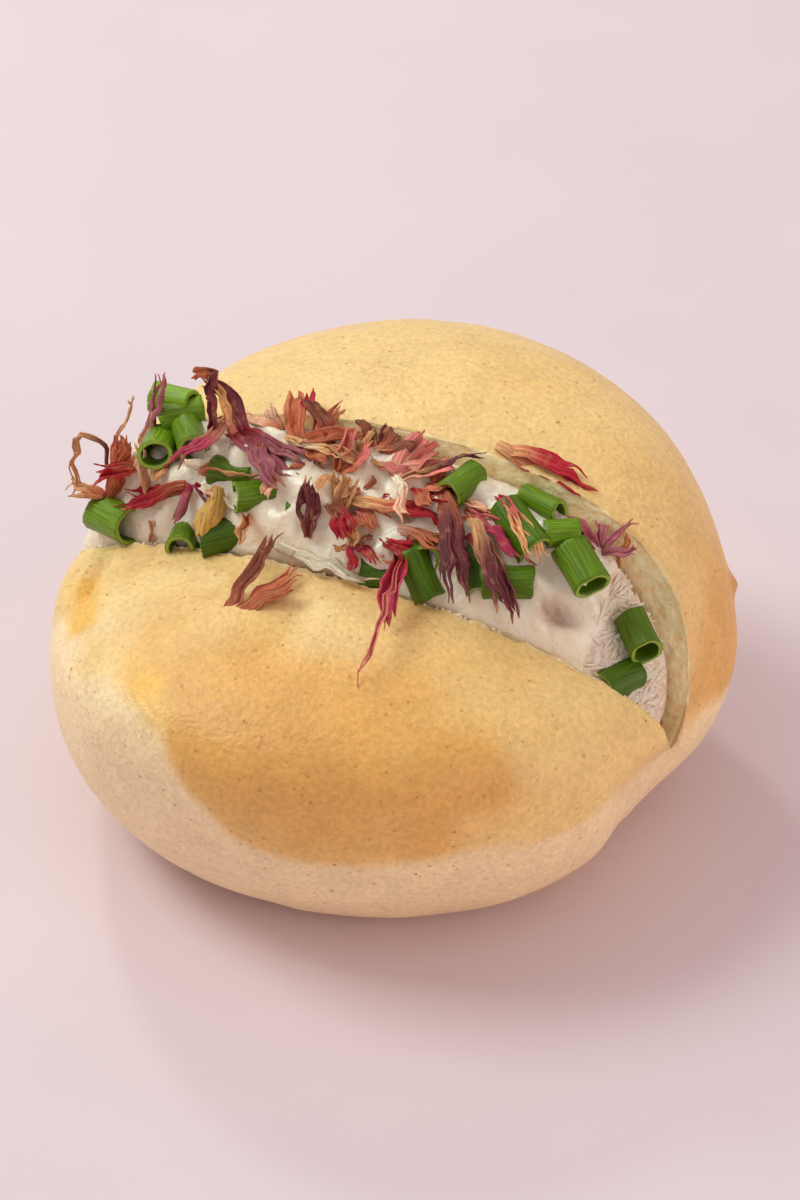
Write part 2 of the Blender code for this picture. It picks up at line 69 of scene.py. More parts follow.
# The bun. Each pair holds the value of the front lobe and of the rear lobe, and
# the cleft's pair its depth at the left and at the right end of the cut.
CUT_Y = -5.5
BUN_X = 0.4
LOBE_HALF_LENGTH = (34.8, 42.0)
LOBE_REACH = (34.0, 41.3)
LOBE_SHIFT = (-3.0, -0.5)
WIDEST_HEIGHT = (24.0, 26.0)
CLEFT_DEPTH = (0.03, 0.13)
CLEFT_WIDTH = 0.26
BASE_HALF_LENGTH = 21.0
BASE_REACH = (16.5, 26.0)
BASE_Y = -7.0

# The edge of the cut: its middle and half-length, and for each lobe its reach, its
# fullness, its shift along the cut, its rise over the notches at the two ends and
# the power of that rise, and how far the skin rolls in there, in degrees.
RIM_X = 0.5
RIM_HALF_LENGTH = 36.3
RIM_REACH = (7.3, 8.2)
RIM_FULLNESS = (0.88, 0.2)
RIM_SHIFT = (-1.0, 3.5)
RIM_RISE = (17.0, 26.5)
RIM_RISE_POWER = (0.88, 0.6)
RIM_ROLL_IN = (-8.0, 8.0)
NOTCH_HEIGHT = 18.0
NOTCH_LIP = 4.5

# The floor of the cut.
FLOOR_HALF_LENGTH = 29.5
FLOOR_HALF_WIDTH = 2.2
FLOOR_FULLNESS = 0.4
FLOOR_HEIGHT = 11.0

# How softly one lobe turns into the other, and how full the curves between the
# outlines are, as shares of the distance from one outline to the next.
LOBE_BLEND = 0.35
RIM_BLEND = 0.25
OUTLINE_BLEND = 0.3
OUTLINE_CLIMB = 0.6
BASE_BULGE = 0.6
BELLY_BULGE = 0.5
SIDE_BULGE = 0.58
SIDE_SPREAD = 0.35
SIDE_LEAN = 0.2
CROWN_BULGE = 0.66

# How the points crowd towards the ends of the cut and the rings towards the rim,
# and how many rings on each side of the rim are smoothed.
CROWDING = 0.3
HIGH_CROWDING = 1.25
WALL_CROWDING = 1.6
LIP_SMOOTHING = 3

# The filling, from the left end of the cut (-1) to its right end (+1): how high it
# is heaped, and how far its rear and front edges lie under the rim and clear of it.
PLACE_ALONG = (-1.0, -0.80, -0.45, 0.0, 0.45, 0.68, 0.80, 1.0)
HEAP_HEIGHT = (2.0, 6.0, 4.5, 2.4, 2.8, 2.6, 0.6, 0.0)
REAR_DROP = (0.5, 0.6, 1.4, 2.2, 2.2, 2.6, 3.6, 2.5)
FRONT_DROP = (0.5, 0.3, 0.2, 0.3, 0.5, 0.6, 1.0, 1.0)
REAR_GAP = (0.55, 0.55, 0.55, 0.55, 0.55, 0.7, 1.6, 0.7)
WALL_GAP = 0.55

# How far along the cut it goes and how far it keeps inside there, as shares, how
# full the heap is, how high its lumps are, and the reach that blends the rows.
FILLING_END = 0.985
END_CLEARANCE = 0.985
DOME_FULLNESS = 0.7
LUMP_HEIGHT = 0.35
PLACE_BLEND = 0.06

# Points of the filling's smooth form, as the solid has it.
CORE_STATIONS = 38
CORE_TOP_STEPS = 9
CORE_WALL_STEPS = 3

# Onion tubes: place (x, y), how far the axis lies over the filling, heading and
# pitch of the axis in degrees, length, radius, and how light the green is (0-1):
# partly the tube's own green and partly painted light and shade for how lit it lies.
CHIVES = (
    (-25.7, 0.3, 4.2, -5, 5, 5.0, 1.8, 1.0),
    (-24.2, -0.6, 1.2, 35, 8, 5.0, 2.2, 0.75),
    (-25.0, -5.0, 0.8, -75, 15, 5.0, 2.0, 0.7),
    (-21.6, -4.0, 0.8, -55, 5, 4.5, 2.0, 0.6),
    (-29.0, -8.6, 0.9, -24, 12, 6.0, 2.3, 0.65),
    (-19.4, -10.6, -0.6, -80, 0, 4.5, 1.9, 0.6),
    (-15.0, -10.8, -0.2, 35, 10, 5.0, 2.1, 0.25),
    (-12.0, -8.2, 0.0, 40, -6, 4.4, 2.0, 0.5),
    (-15.6, -6.0, -1.6, 5, 0, 4.5, 2.0, 0.4),
    (-5.7, -7.4, -2.4, 20, 0, 5.0, 2.0, 0.5),
    (9.6, -1.6, 0.4, 74, 0, 4.6, 1.95, 0.5),
    (17.9, 0.6, 0.1, -12, -3, 5.0, 1.6, 0.6),
    (17.2, -3.6, 0.2, -35, -15, 6.5, 2.4, 0.35),
    (21.5, -2.1, 0.8, 30, 0, 3.5, 1.8, 0.6),
    (24.6, -4.3, 1.3, -37, -21, 5.4, 2.2, 0.5),
    (17.8, -8.4, 0.8, 23, 0, 5.6, 2.1, 0.35),
    (14.2, -8.4, -0.2, -50, -30, 5.0, 2.0, 0.2),
    (8.6, -10.4, 0.0, -35, -40, 5.5, 2.1, 0.3),
    (7.8, -8.4, -0.8, -60, 20, 4.5, 2.1, 0.25),
    (31.2, -3.8, 1.1, -43, -20, 4.8, 2.1, 0.4),
    (30.6, -7.2, -0.5, 60, 0, 4.5, 1.9, 0.25),
    (4.0, -10.6, -2.0, 15, 0, 4.5, 2.0, 0.3),
)
# The tube's wall, its rounded ends (shares of the wall), and how uneven it is: its
# ribs, its oval, its waist, and the slant and rags of its ends.
CHIVE_WALL = 0.5
CHIVE_ROUNDING = (0.35, 0.75)
CHIVE_RIBS = (15, 21)
CHIVE_RIB_HEIGHT = 0.018
CHIVE_OVAL = 0.07
CHIVE_WAIST = 0.03
CHIVE_SLANT = 0.25
CHIVE_RAGGED = 0.06

# Dried petals: number of strips and the angle between them, the root's place
# (x, y) and its lift, heading and pitch in degrees, length, how far a strip
# bends over its length, its width, and the colours of its root and of its tip.
PETALS = (
    (3, 26, -30.6, -7.2, 0.0, 60, 74, 10.5, 10, 2.2, "rust", "rust"),
    (1, 0, -30.6, -6.6, 4.4, 188, 86, 15.5, -165, 1.0, "plum", "tan"),
    (1, 0, -30.0, -5.8, 5.0, 60, 80, 7.5, -20, 0.7, "rust", "tan"),
    (2, 40, -30.6, -7.3, 1.8, 195, 8, 4.4, 0, 1.6, "rust", "tan"),
    (2, 12, -28.5, -3.2, -0.5, 25, 72, 11.0, 10, 1.4, "peach", "mauve"),
    (1, 0, -18.6, -4.6, 0.4, 60, 80, 10.2, 10, 2.0, "plum", "plum"),
    (1, 0, -15.6, -2.6, 0.0, 178, 95, 9.8, -75, 2.0, "mauve", "plum"),
    (1, 0, -17.8, -3.9, 8.6, 200, -5, 3.2, -20, 1.8, "brown", "rust"),
    (1, 0, -16.8, -1.6, 2.2, 248, -8, 12.0, -4, 2.4, "tan", "magenta"),
    (1, 0, -21.2, -6.8, 0.6, 30, 12, 6.4, -20, 2.0, "cream", "cream"),
    (1, 0, -25.3, -8.4, 0.3, 120, 80, 8.0, 8, 1.5, "tan", "peach"),
    (3, 13, -19.6, -8.2, 0.5, 190, -22, 9.2, -12, 1.7, "rust", "crimson"),
    (2, 10, -19.0, -7.6, 1.7, 14, 14, 8.0, -30, 2.0, "rust", "tan"),
    (2, 75, -19.5, -8.4, 1.2, -55, -18, 5.0, -40, 1.5, "magenta", "mauve"),
    (1, 0, -18.4, -8.6, 1.3, -6, 4, 5.6, -10, 1.8, "cream", "cream"),
    (1, 0, -16.2, -9.0, 1.7, -85, -32, 5.8, -24, 3.4, "gold", "gold"),
    (1, 0, -24.0, -9.6, 0.3, -55, -40, 3.2, -30, 1.2, "peach", "peach"),
    (3, 14, -17.2, -2.6, 1.3, -23, -3, 11.0, -12, 2.4, "crimson", "mauve"),
    (1, 0, -15.6, -3.8, 0.4, 175, 66, 7.4, 15, 1.5, "pink", "tan"),
    (4, 48, -9.4, -2.4, 0.2, 45, 24, 6.6, -20, 2.4, "rust", "rust"),
    (1, 0, -4.6, -1.0, -0.2, 156, 32, 8.2, -18, 1.7, "crimson", "brown"),
    (1, 0, -9.2, -3.0, 0.8, -5, 15, 6.4, -35, 1.5, "cream", "tan"),
    (1, 0, -1.8, 0.8, -0.5, 40, 76, 3.6, 0, 0.8, "brown", "plum"),
    (3, 60, -0.8, -0.2, 0.0, 80, 22, 4.8, -10, 1.8, "rust", "brown"),
    (3, 26, 2.5, -3.4, 0.9, 60, 26, 7.0, -16, 3.0, "peach", "pink"),
    (1, 0, 2.5, -3.4, 1.6, -55, -2, 7.6, -22, 1.4, "cream", "peach"),
    (1, 0, 4.4, -2.6, 0.6, 36, 15, 7.4, -8, 1.0, "tan", "plum"),
    (3, 50, 4.8, -3.4, -0.2, 5, 20, 4.2, -15, 1.8, "crimson", "rust"),
    (3, 15, -4.4, -10.8, 0.5, 108, 62, 6.4, 5, 1.7, "brown", "plum"),
    (3, 20, -1.8, -8.8, 0.0, 95, 56, 5.6, 10, 1.6, "crimson", "tan"),
    (3, 40, -0.4, -7.0, 0.3, -30, 22, 3.8, -50, 2.0, "pink", "rust"),
    (2, 14, -3.2, -8.2, 0.5, -40, 6, 5.6, -25, 1.7, "brown", "crimson"),
    (2, 45, 0.4, -10.2, 0.3, -45, -5, 3.8, -20, 1.6, "magenta", "crimson"),
    (2, 9, -1.2, -7.0, 1.9, 12, 6, 12.0, -10, 2.2, "tan", "crimson"),
    (2, 18, 4.8, -7.8, 0.2, -8, 8, 6.0, -20, 2.0, "peach", "rust"),
    (2, 35, 3.4, -9.2, -0.2, -14, 8, 4.2, -20, 1.7, "crimson", "crimson"),
    (1, 0, -8.8, -11.6, 0.9, -4, 5, 12.2, -14, 3.4, "cream", "cream"),
    (1, 0, 6.0, -9.6, 0.6, -78, -4, 9.5, -24, 2.6, "crimson", "magenta"),
    (1, 0, 6.6, -9.4, 0.7, -84, -2, 17.5, -26, 0.7, "crimson", "pink"),
    (2, 8, 7.0, -1.2, 0.8, -60, -3, 17.4, -30, 1.9, "rust", "plum"),
    (2, 9, 12.2, -5.2, 0.6, -46, -5, 13.6, -36, 1.9, "tan", "plum"),
    (2, 16, 12.2, -6.6, 0.6, -22, -8, 5.8, -16, 1.6, "crimson", "tan"),
    (3, 10, 10.8, -3.4, 0.4, -18, 6, 9.5, -34, 1.6, "pink", "magenta"),
    (2, 10, 13.8, -2.0, 0.8, -36, 2, 10.2, -46, 1.5, "magenta", "tan"),
    (4, 58, 25.4, -0.6, 0.0, 80, 36, 4.8, -10, 1.8, "mauve", "mauve"),
    (1, 0, 27.4, -0.2, 0.0, 75, 68, 5.0, 10, 0.9, "orange", "orange"),
    (2, 30, -11.6, -1.4, 0.2, 150, 10, 5.4, -20, 2.0, "rust", "peach"),
    (1, 0, -8.4, 0.0, 0.4, 120, 40, 5.8, -30, 1.8, "rust", "crimson"),
    (2, 26, -6.4, -2.4, 0.3, -10, 8, 4.8, -20, 1.9, "rust", "tan"),
    (1, 0, -10.4, -6.8, 0.4, -75, 6, 3.4, -30, 1.7, "orange", "peach"),
    (2, 24, -26.4, -6.6, 0.6, 215, 10, 5.0, -20, 1.7, "rust", "crimson"),
    (1, 0, -23.0, -5.6, 1.0, 20, 20, 5.4, -30, 1.6, "pink", "tan"),
    (2, 30, 5.6, -4.6, 0.5, 20, 22, 4.6, -20, 2.0, "rust", "crimson"),
    (2, 26, -3.6, -5.0, 0.3, 75, 40, 5.2, -20, 1.8, "rust", "pink"),
)
PETALS_ON_BREAD = (
    (1, 0, -9.2, -22.0, -0.3, 80, 24, 11.5, 0, 1.7, "rust", "brown"),
    (2, 16, -9.4, -22.2, -0.3, 50, 20, 9.8, 0, 2.0, "rust", "rust"),
    (2, 5, 11.2, 4.0, 0.4, -2, -2, 12.4, -14, 2.4, "tan", "crimson"),
)
PETAL_COLOURS = ("crimson", "magenta", "pink", "rust", "brown", "tan", "cream", "gold",
                 "peach", "plum", "mauve", "orange")

# Small broken petals: how they scatter round the big ones' roots, their pitch,
# length, bend and width, each low and high, and their colours.
BIT_SCATTER = (2.4, 1.5)
BIT_PITCH = (-12.0, 35.0)
BIT_LENGTH = (1.6, 4.2)
BIT_BEND = (-60.0, 10.0)
BIT_WIDTH = (0.7, 1.6)
BIT_COLOURS = ("rust", "brown", "crimson", "peach", "tan", "pink")

# The form of a petal: its width at the root, where its belly lies, where it lies
# flat and half its width, all as shares, then how much its strips differ.
PETAL_ROOT_WIDTH = 0.35
PETAL_BELLY = (0.12, 0.92)
PETAL_FLAT_AT = 0.3
PETAL_FULLNESS = 0.51
ROOT_SPACING = (0.2, 0.15)
TILT_SPREAD = 6.0
LENGTH_SPREAD = (0.85, 1.05)
TWIST_SPREAD = 50.0
BRIGHTNESS_SPREAD = (0.8, 1.25)
TIP_DRYNESS = 0.7

# A petal bent by more than this bends near its root, and one wider than this
# stays whole nearly to its tip.
SHARP_BEND = 100.0
WHOLE_WIDTH = 2.5

# The petal's path: how far past its length it is laid out, in how many points, and
# where a petal that bends right over does so.
PATH_END = 1.1
PATH_POINTS = 45
SHARP_BEND_AT = (0.15, 0.5)

# Strands of a petal: where the split begins, how long each is, how thin its tip
# is, how far it leans, shifts and curls, how short the split part may be, how far
# the petal rolls across its width, its pleats (how close and how deep), and its
# crumples (how high, how wide, and a seed).
SPLIT_FROM = (0.6, 0.9)
STRAND_LENGTH = (0.86, 1.08)
STRAND_TIP = 0.06
STRAND_LEAN = 0.4
STRAND_SHIFT = 0.3
STRAND_CURL = 0.8
SPLIT_SHORTEST = 0.12
ROLL_ANGLE = (0.4, 2.3)
PLEATS = ((3.0, 0.2), (7.0, 0.09), (12.0, 0.03))
CRUMPLES = tuple(((1.0, 1.1, seed), (0.6, 0.55, seed + 3)) for seed in (71, 72, 73))

# Shreds of tuna: where they lie, their form, and the points along and round one.
# The heading's pair is a middle and a spread, the others' are low and high.
SHRED_X = (27.4, 34.8)
SHRED_Y = (-9.5, 1.5)
SHRED_LENGTH = (1.2, 3.6)
SHRED_RADIUS = (0.1, 0.34)
SHRED_HEADING = (62.0, 65.0)
SHRED_LIFT = (-0.44, -0.1)
SHRED_BEND = 0.5
SHRED_ARCH = 0.22
SHRED_FLATNESS = 0.7
SHRED_TIP = 0.25
SHRED_GRID = (9, 6)
STEEPEST_BED = 0.3

# Torn crumbs on the front rim. Up to each share of the crumbs, they lie round an
# angle with a spread, in radians from the right end of the cut. The others lie
# anywhere in the range. Then their size and stretch, how far they lie in from the
# rim and scattered off it, and how lumpy they are.
CRUMB_PLACES = ((0.5, 1.17, 0.06), (0.8, 2.75, 0.08))
CRUMB_RANGE = (0.35, 2.6)
CRUMB_SIZE = (0.08, 0.26)
CRUMB_STRETCH = (0.6, 1.4)
CRUMB_INWARDS = (-0.05, 0.5)
CRUMB_SCATTER = 0.08
CRUMB_LUMPS = 0.35
CRUMB_GRID = (7, 10)

# Swellings of the cream: place (x, y), spread and height.
CREAM_SWELLS = (
    (-5.7, -7.4, 3.2, 1.3),
    (-14.4, -5.4, 2.2, 0.9),
    (-10.0, -10.2, 2.6, 0.9),
    (4.0, -9.8, 2.0, 0.5),
    (20.0, -9.2, 4.0, 0.9),
    (12.5, -10.0, 3.0, 0.8),
    (26.0, -6.4, 2.2, 0.5),
)
# Right of this place the filling is loose tuna, which lies lower and is ridged. The
# left part is ridged a little too. One hollow in the cream shows tuna under painted
# shade: its place, the way it runs, its half-length and half-width, its depth and
# the strength of that painted shade.
LOOSE_FROM_X = 27.4
LOOSE_DROP = 1.1
LOOSE_RIDGES = 0.7
LEFT_RIDGES = 0.35
HOLLOW_PLACE = (23.4, -7.8)
HOLLOW_WAY = (0.918, 0.396)
HOLLOW_REACH = (2.4, 1.25)
HOLLOW_DEPTH = 1.3
HOLLOW_PAINTED_SHADE = 0.7

# Soft noises that are added up: height, size of the bumps, and seed.
CREAM_NOISE = ((0.5, 3.6, 51), (0.42, 1.7, 52), (0.2, 0.8, 53))
SKIN_NOISE = ((0.30, 11.0, 31), (0.12, 4.5, 32), (0.035, 1.6, 33))
PALE_EDGE_NOISE = ((1.8, 6.0, 21), (0.5, 2.0, 22))
RAGGED_NOISE = ((1.6, 1.1, 41), (1.0, 0.5, 42))
TORN_NOISE = ((0.2, 1.6, 44), (0.06, 0.6, 45))
FRAY_NOISE = ((0.35, 1.8, 48), (0.25, 0.8, 46), (0.12, 0.4, 47))

# The torn crumb's pores, as size, seed and depth, how much of its roughness shows,
# and how many rings on each side of the rim are frayed.
PORES = (1.5, 43)
PORE_DEPTH = 0.18
TORN_SHARE = 0.8
FRAY_RINGS = 2.5

# The crust is pale below this height on the front right. The edge climbs on the
# front left, drops on the rear lobe, and fades over the softness up and down.
PALE_HEIGHT = 18.0
PALE_CLIMB = 11.5
PALE_DROP = 4.0
PALE_SOFTNESS = 6.0

# Soft hollows (negative) and swellings of the skin: place, spread and height.
SKIN_DENTS = (
    (-2.0, -20.0, 34.0, 2.2, 5.0, 4.0, -0.9),
    (-9.5, -23.0, 33.0, 4.5, 3.5, 4.0, 0.35),
    (-28.4, -16.5, 28.5, 0.9, 5.0, 6.0, -1.6),
    (-31.0, -15.0, 26.0, 1.4, 4.0, 5.0, 0.7),
    (36.0, 16.6, 24.0, 1.1, 1.1, 1.2, 1.8),
    (-16.0, -31.0, 30.5, 3.5, 2.0, 3.0, -0.3),
)
# Browner places of the crust: place, spread and strength.
BROWN_PLACES = (
    (21.7, -28.2, 28.3, 3.4, 0.4),
    (24.1, -28.3, 25.7, 2.6, 0.4),
    (8.0, -30.0, 28.0, 17.0, 0.3),
    (-10.0, -29.0, 31.0, 9.0, 0.4),
    (-9.0, -34.0, 27.5, 6.0, 0.5),
    (19.1, -32.7, 20.5, 3.5, 0.4),
    (12.0, -33.0, 26.0, 12.0, 0.6),
    (-2.0, -33.0, 29.0, 9.0, 0.5),
    (2.0, -19.0, 35.0, 6.0, -0.4),
    (37.0, 9.0, 22.0, 9.0, 0.8),
    (34.0, 16.0, 33.0, 6.0, 0.3),
    (36.0, 16.6, 24.0, 2.0, 1.2),
    (-10.0, 22.0, 40.0, 14.0, -0.3),
)
# Yellower folds of the crust: place, spread and strength.
YELLOW_PLACES = (
    (-28.6, -17.0, 28.0, 2.4, 1.0),
    (-27.4, -20.5, 27.7, 2.6, 1.0),
    (-25.5, -23.5, 28.0, 2.4, 1.0),
    (-31.5, -13.0, 25.5, 2.2, 0.6),
    (-13.5, -33.0, 30.5, 2.4, 0.9),
    (-16.0, -30.5, 30.8, 3.0, 0.6),
    (-10.5, -35.5, 29.4, 2.4, 0.7),
    (-3.0, -39.0, 23.6, 3.0, 0.35),
)

# Fixed colours in linear values: flour on the crust, green bits in the cream, and
# the brown and the worn patches of the petals.
FLOUR = (0.95, 0.9, 0.8)
HERB = (0.35, 0.42, 0.12)
PETAL_PATCH = (0.56, 0.26, 0.13)
PETAL_WORN = (0.12, 0.035, 0.025)

# The stage, in metres: the floor, the point that the lights face, and how far off
# they stand. The gloss light's way is behind, left and up. The sensor is in mm.
FLOOR_HALF_WIDTH_M = 1.5
LIGHT_AIM = (0.0, 0.0, 0.025)
NEAR_LIGHT = 0.9
FAR_LIGHT = 1.0
GLOSS_WAY = (0.72, 0.29, 0.63)
SENSOR_MM = 36.0


def mix(pair, weight):
    """Blend from the front lobe's value to the rear lobe's."""
    return pair[0] + (pair[1] - pair[0]) * weight


def smooth_step(low, high, value):
    """0 below low, 1 above high, and an S-curve 3t^2 - 2t^3 between them."""
    t = np.clip((value - low) / (high - low), 0.0, 1.0)
    return t * t * (3.0 - 2.0 * t)


def in_cells(points, size):
    """Places in a grid of cubes of the given size, and the cube that each is in."""
    place = points / size + GRID_MIDDLE
    return place, np.floor(place).astype(int)


def look_up(table, cell):
    """The value of each cube, from a table that repeats along x, y and z."""
    x, y, z = np.moveaxis(cell % GRID_REPEAT, -1, 0)
    return table[x, y, z]


def cloud(points, size, seed):
    """Soft random values from -1 to 1, one at each corner of a grid of cubes of
    the given size, blended inside each cube by the S-curve of smooth_step."""
    table = np.random.default_rng(seed).uniform(-1.0, 1.0, (GRID_REPEAT,) * 3)
    place, cell = in_cells(points, size)
    t = smooth_step(0.0, 1.0, place - cell)
    total = np.zeros(points.shape[:-1])
    for corner in itertools.product((0, 1), repeat=3):
        weight = np.prod(np.where(corner, t, 1.0 - t), axis=-1)
        total += weight * look_up(table, cell + np.array(corner))
    return total


def clouds(points, rows):
    """Several soft noises added up, from rows of height, size and seed."""
    return sum(height * cloud(points, size, seed) for height, size, seed in rows)


def pits(points, size, seed):
    """Distance to the nearest of some scattered points, one in each cube of a
    grid, over the cube's size: 0 at a point and about 0.7 between the points."""
    table = np.random.default_rng(seed).uniform(0.1, 0.9, (GRID_REPEAT,) * 3 + (3,))
    place, cell = in_cells(points, size)
    nearest = np.full(points.shape[:-1], np.inf)
    for corner in itertools.product((-1, 0, 1), repeat=3):
        near = cell + np.array(corner)
        away = np.linalg.norm(place - near - look_up(table, near), axis=-1)
        nearest = np.minimum(nearest, away)
    return nearest


def rear_weight(phi):
    """0 on the front lobe and 1 on the rear lobe, blended at the cut's ends."""
    return 0.5 * (1.0 + np.tanh(np.sin(phi) / LOBE_BLEND))


def soft_rise(s, soft=0.12):
    """0 at the ends of the cut and 1 in the middle of a lobe, with no kink."""
    return (np.sqrt(s * s + soft * soft) - soft) / (math.sqrt(1.0 + soft * soft) - soft)


def soft_power(s, power, soft=0.04):
    """The sign of s times a power of its size, with no kink at 0."""
    return s * (s * s + soft * soft) ** ((power - 1.0) / 2.0)


def widest_outline(phi):
    """Where the bun is widest: two half ovals that meet in a cleft at each end."""
    c, s, rear = np.cos(phi), np.sin(phi), rear_weight(phi)
    cleft = 1.0 - mix(CLEFT_DEPTH, 0.5 + 0.5 * c) * np.exp(-(s / CLEFT_WIDTH) ** 2)
    low = NOTCH_HEIGHT - NOTCH_LIP
    x = BUN_X + mix(LOBE_HALF_LENGTH, rear) * c * cleft + mix(LOBE_SHIFT, rear) * s * s
    y = CUT_Y + mix(LOBE_REACH, rear) * s
    z = low + (mix(WIDEST_HEIGHT, rear) - low) * soft_rise(s, OUTLINE_BLEND) ** OUTLINE_CLIMB
    return np.stack([x, y, z], axis=-1)


def base_outline(phi):
    """The edge of the flat base: two half ovals."""
    c, s = np.cos(phi), np.sin(phi)
    y = BASE_Y + mix(BASE_REACH, rear_weight(phi)) * s
    return np.stack([BASE_HALF_LENGTH * c, y, 0.0 * c], axis=-1)


def rim(phi):
    """The edge of the cut: low at both ends, higher on the rear lobe."""
    c, s, rear = np.cos(phi), np.sin(phi), rear_weight(phi)
    x = RIM_X + RIM_HALF_LENGTH * c + mix(RIM_SHIFT, rear) * s * s
    front = RIM_REACH[0] * soft_power(s, RIM_FULLNESS[0])
    back = RIM_REACH[1] * soft_power(s, RIM_FULLNESS[1])
    rise = soft_rise(s)
    front_rise = RIM_RISE[0] * rise ** RIM_RISE_POWER[0]
    back_rise = RIM_RISE[1] * rise ** RIM_RISE_POWER[1]
    y = CUT_Y + front * (1.0 - rear) + back * rear
    z = NOTCH_HEIGHT + front_rise * (1.0 - rear) + back_rise * rear
    return np.stack([x, y, z], axis=-1)


def rim_direction(phi):
    """The way the skin runs as it reaches the cut: across, rolling in or out."""
    s = np.sin(phi)
    roll = np.radians(mix(RIM_ROLL_IN, rear_weight(phi))) * np.abs(s)
    inwards = -np.tanh(s / RIM_BLEND) * np.cos(roll)
    return np.stack([0.0 * s, inwards, -np.sin(roll)], axis=-1)


def cut_floor(phi):
    """The bottom of the cut: a long narrow oval."""
    c, s = np.cos(phi), np.sin(phi)
    y = CUT_Y + FLOOR_HALF_WIDTH * soft_power(s, FLOOR_FULLNESS)
    return np.stack([FLOOR_HALF_LENGTH * c, y, FLOOR_HEIGHT + 0.0 * c], axis=-1)


def bezier(start, start_handle, end_handle, end, t):
    """Rings along a cubic curve between two outlines, at the given shares t."""
    t = t[:, None, None]
    u = 1.0 - t
    first_half = u**3 * start + 3.0 * u**2 * t * start_handle
    return first_half + 3.0 * u * t**2 * end_handle + t**3 * end


def once_round(sides):
    """Even angles once round, in radians."""
    return np.linspace(0.0, 2.0 * math.pi, sides, endpoint=False)


def round_the_bun(sides):
    """Angles round the bun, closer together at the two ends of the cut."""
    turn = once_round(sides)
    return turn - CROWDING * np.sin(2.0 * turn)


def bun_rings(phi, low, high, wall):
    """Rings from the base over the skin to the rim and down into the cut. Each of
    low, high and wall holds the shares along its curve at which rings lie."""
    base, widest, edge = base_outline(phi), widest_outline(phi), rim(phi)
    along_cut, up = np.array([1.0, 0.0, 0.0]), np.array([0.0, 0.0, 1.0])
    out = (widest - base) * (1.0 - up)
    under = widest - BELLY_BULGE * up * widest[:, 2:3]
    lower = bezier(base, base + BASE_BULGE * out, under, widest, low)
    across = np.abs(edge - widest)[:, 1:2]
    higher = np.abs(edge - widest)[:, 2:3]
    climb = SIDE_SPREAD * across + (1.0 - SIDE_SPREAD) * higher
    side = widest + SIDE_LEAN * (edge - widest) * along_cut + SIDE_BULGE * up * climb
    crown = edge - CROWN_BULGE * rim_direction(phi) * across
    upper = bezier(widest, side, crown, edge, high)
    depth = wall[:, None, None]
    inner = edge * (1.0 - depth) + cut_floor(phi) * depth
    return np.concatenate([lower, upper[1:], inner[1:]])


def along(values, place):
    """Read one of the filling's rows of values, smoothly, at a place along the cut."""
    steps = np.linspace(-PLACE_BLEND, PLACE_BLEND, 7)
    spread = np.asarray(place)[..., None] + steps
    return np.interp(spread, PLACE_ALONG, values).mean(axis=-1)


def wall_edge(place, side, drop, gap):
    """A point on the cut's wall, some way under the rim and clear of the bread."""
    phi = side * np.arccos(place)
    edge, floor = rim(phi), cut_floor(phi)
    depth = (drop / (edge[:, 2] - floor[:, 2]))[:, None]
    point = edge * (1.0 - depth) + floor * depth
    point[:, 0] *= END_CLEARANCE
    point[:, 1] -= side * gap
    return point


def lumps(x, y):
    """Low soft lumps of the mayonnaise: a few crossing waves."""
    return LUMP_HEIGHT * (np.sin(0.75 * x + 0.9 * y) + np.sin(1.15 * x - 0.8 * y + 1.3)
                          + 0.8 * np.sin(0.45 * x + 1.6 * y + 4.0))


def filling_top(place, across):
    """The heaped top: across 0 is the front edge of the filling and 1 its rear."""
    front = wall_edge(place, -1.0, along(FRONT_DROP, place), WALL_GAP)
    rear = wall_edge(place, 1.0, along(REAR_DROP, place), along(REAR_GAP, place))
    v = across[None, :, None]
    top = front[:, None, :] * (1.0 - v) + rear[:, None, :] * v
    dome = (1.0 - (2.0 * across - 1.0) ** 2) ** DOME_FULLNESS
    heap = along(HEAP_HEIGHT, place)[:, None] * dome[None, :]
    top[..., 2] += heap + lumps(top[..., 0], top[..., 1]) * dome[None, :]
    return top


def filling_floor(place, side):
    """A lower edge of the filling: where a wall meets the cut's floor, clear of both."""
    deepest = rim(side * np.arccos(place))[:, 2] - FLOOR_HEIGHT
    return wall_edge(place, side, deepest, WALL_GAP) + np.array([0.0, 0.0, WALL_GAP])


def filling_loops(stations, across, wall_steps):
    """Closed loops along the cut: over the heaped top, down one wall, up the other."""
    turn = np.linspace(-0.5 * math.pi, 0.5 * math.pi, stations)
    place = FILLING_END * np.sin(turn)
    top = filling_top(place, across)
    rear, front = top[:, -1], top[:, 0]
    floor_rear, floor_front = (filling_floor(place, side) for side in (1.0, -1.0))
    share = np.linspace(0.0, 1.0, wall_steps + 1)
    down = [rear + (floor_rear - rear) * t for t in share[1:]]
    up = [floor_front + (front - floor_front) * t for t in share[:-1]]
    return np.concatenate([top, np.stack(down + up, axis=1)], axis=1)


def ring_faces(count, sides, closed=True):
    """Quads between rings of points: ring i, side j joins the next ring and side."""
    spans = sides if closed else sides - 1
    ring, side = np.meshgrid(np.arange(count - 1), np.arange(spans), indexing="ij")
    after = (side + 1) % sides
    corners = (ring * sides + side, ring * sides + after,
               (ring + 1) * sides + after, (ring + 1) * sides + side)
    return np.stack(corners, axis=-1).reshape(-1, 4)


def repeated(faces, copies, size):
    """The same quads for each of many alike parts of so many points."""
    return (faces[None] + (np.arange(copies) * size)[:, None, None]).reshape(-1, 4)


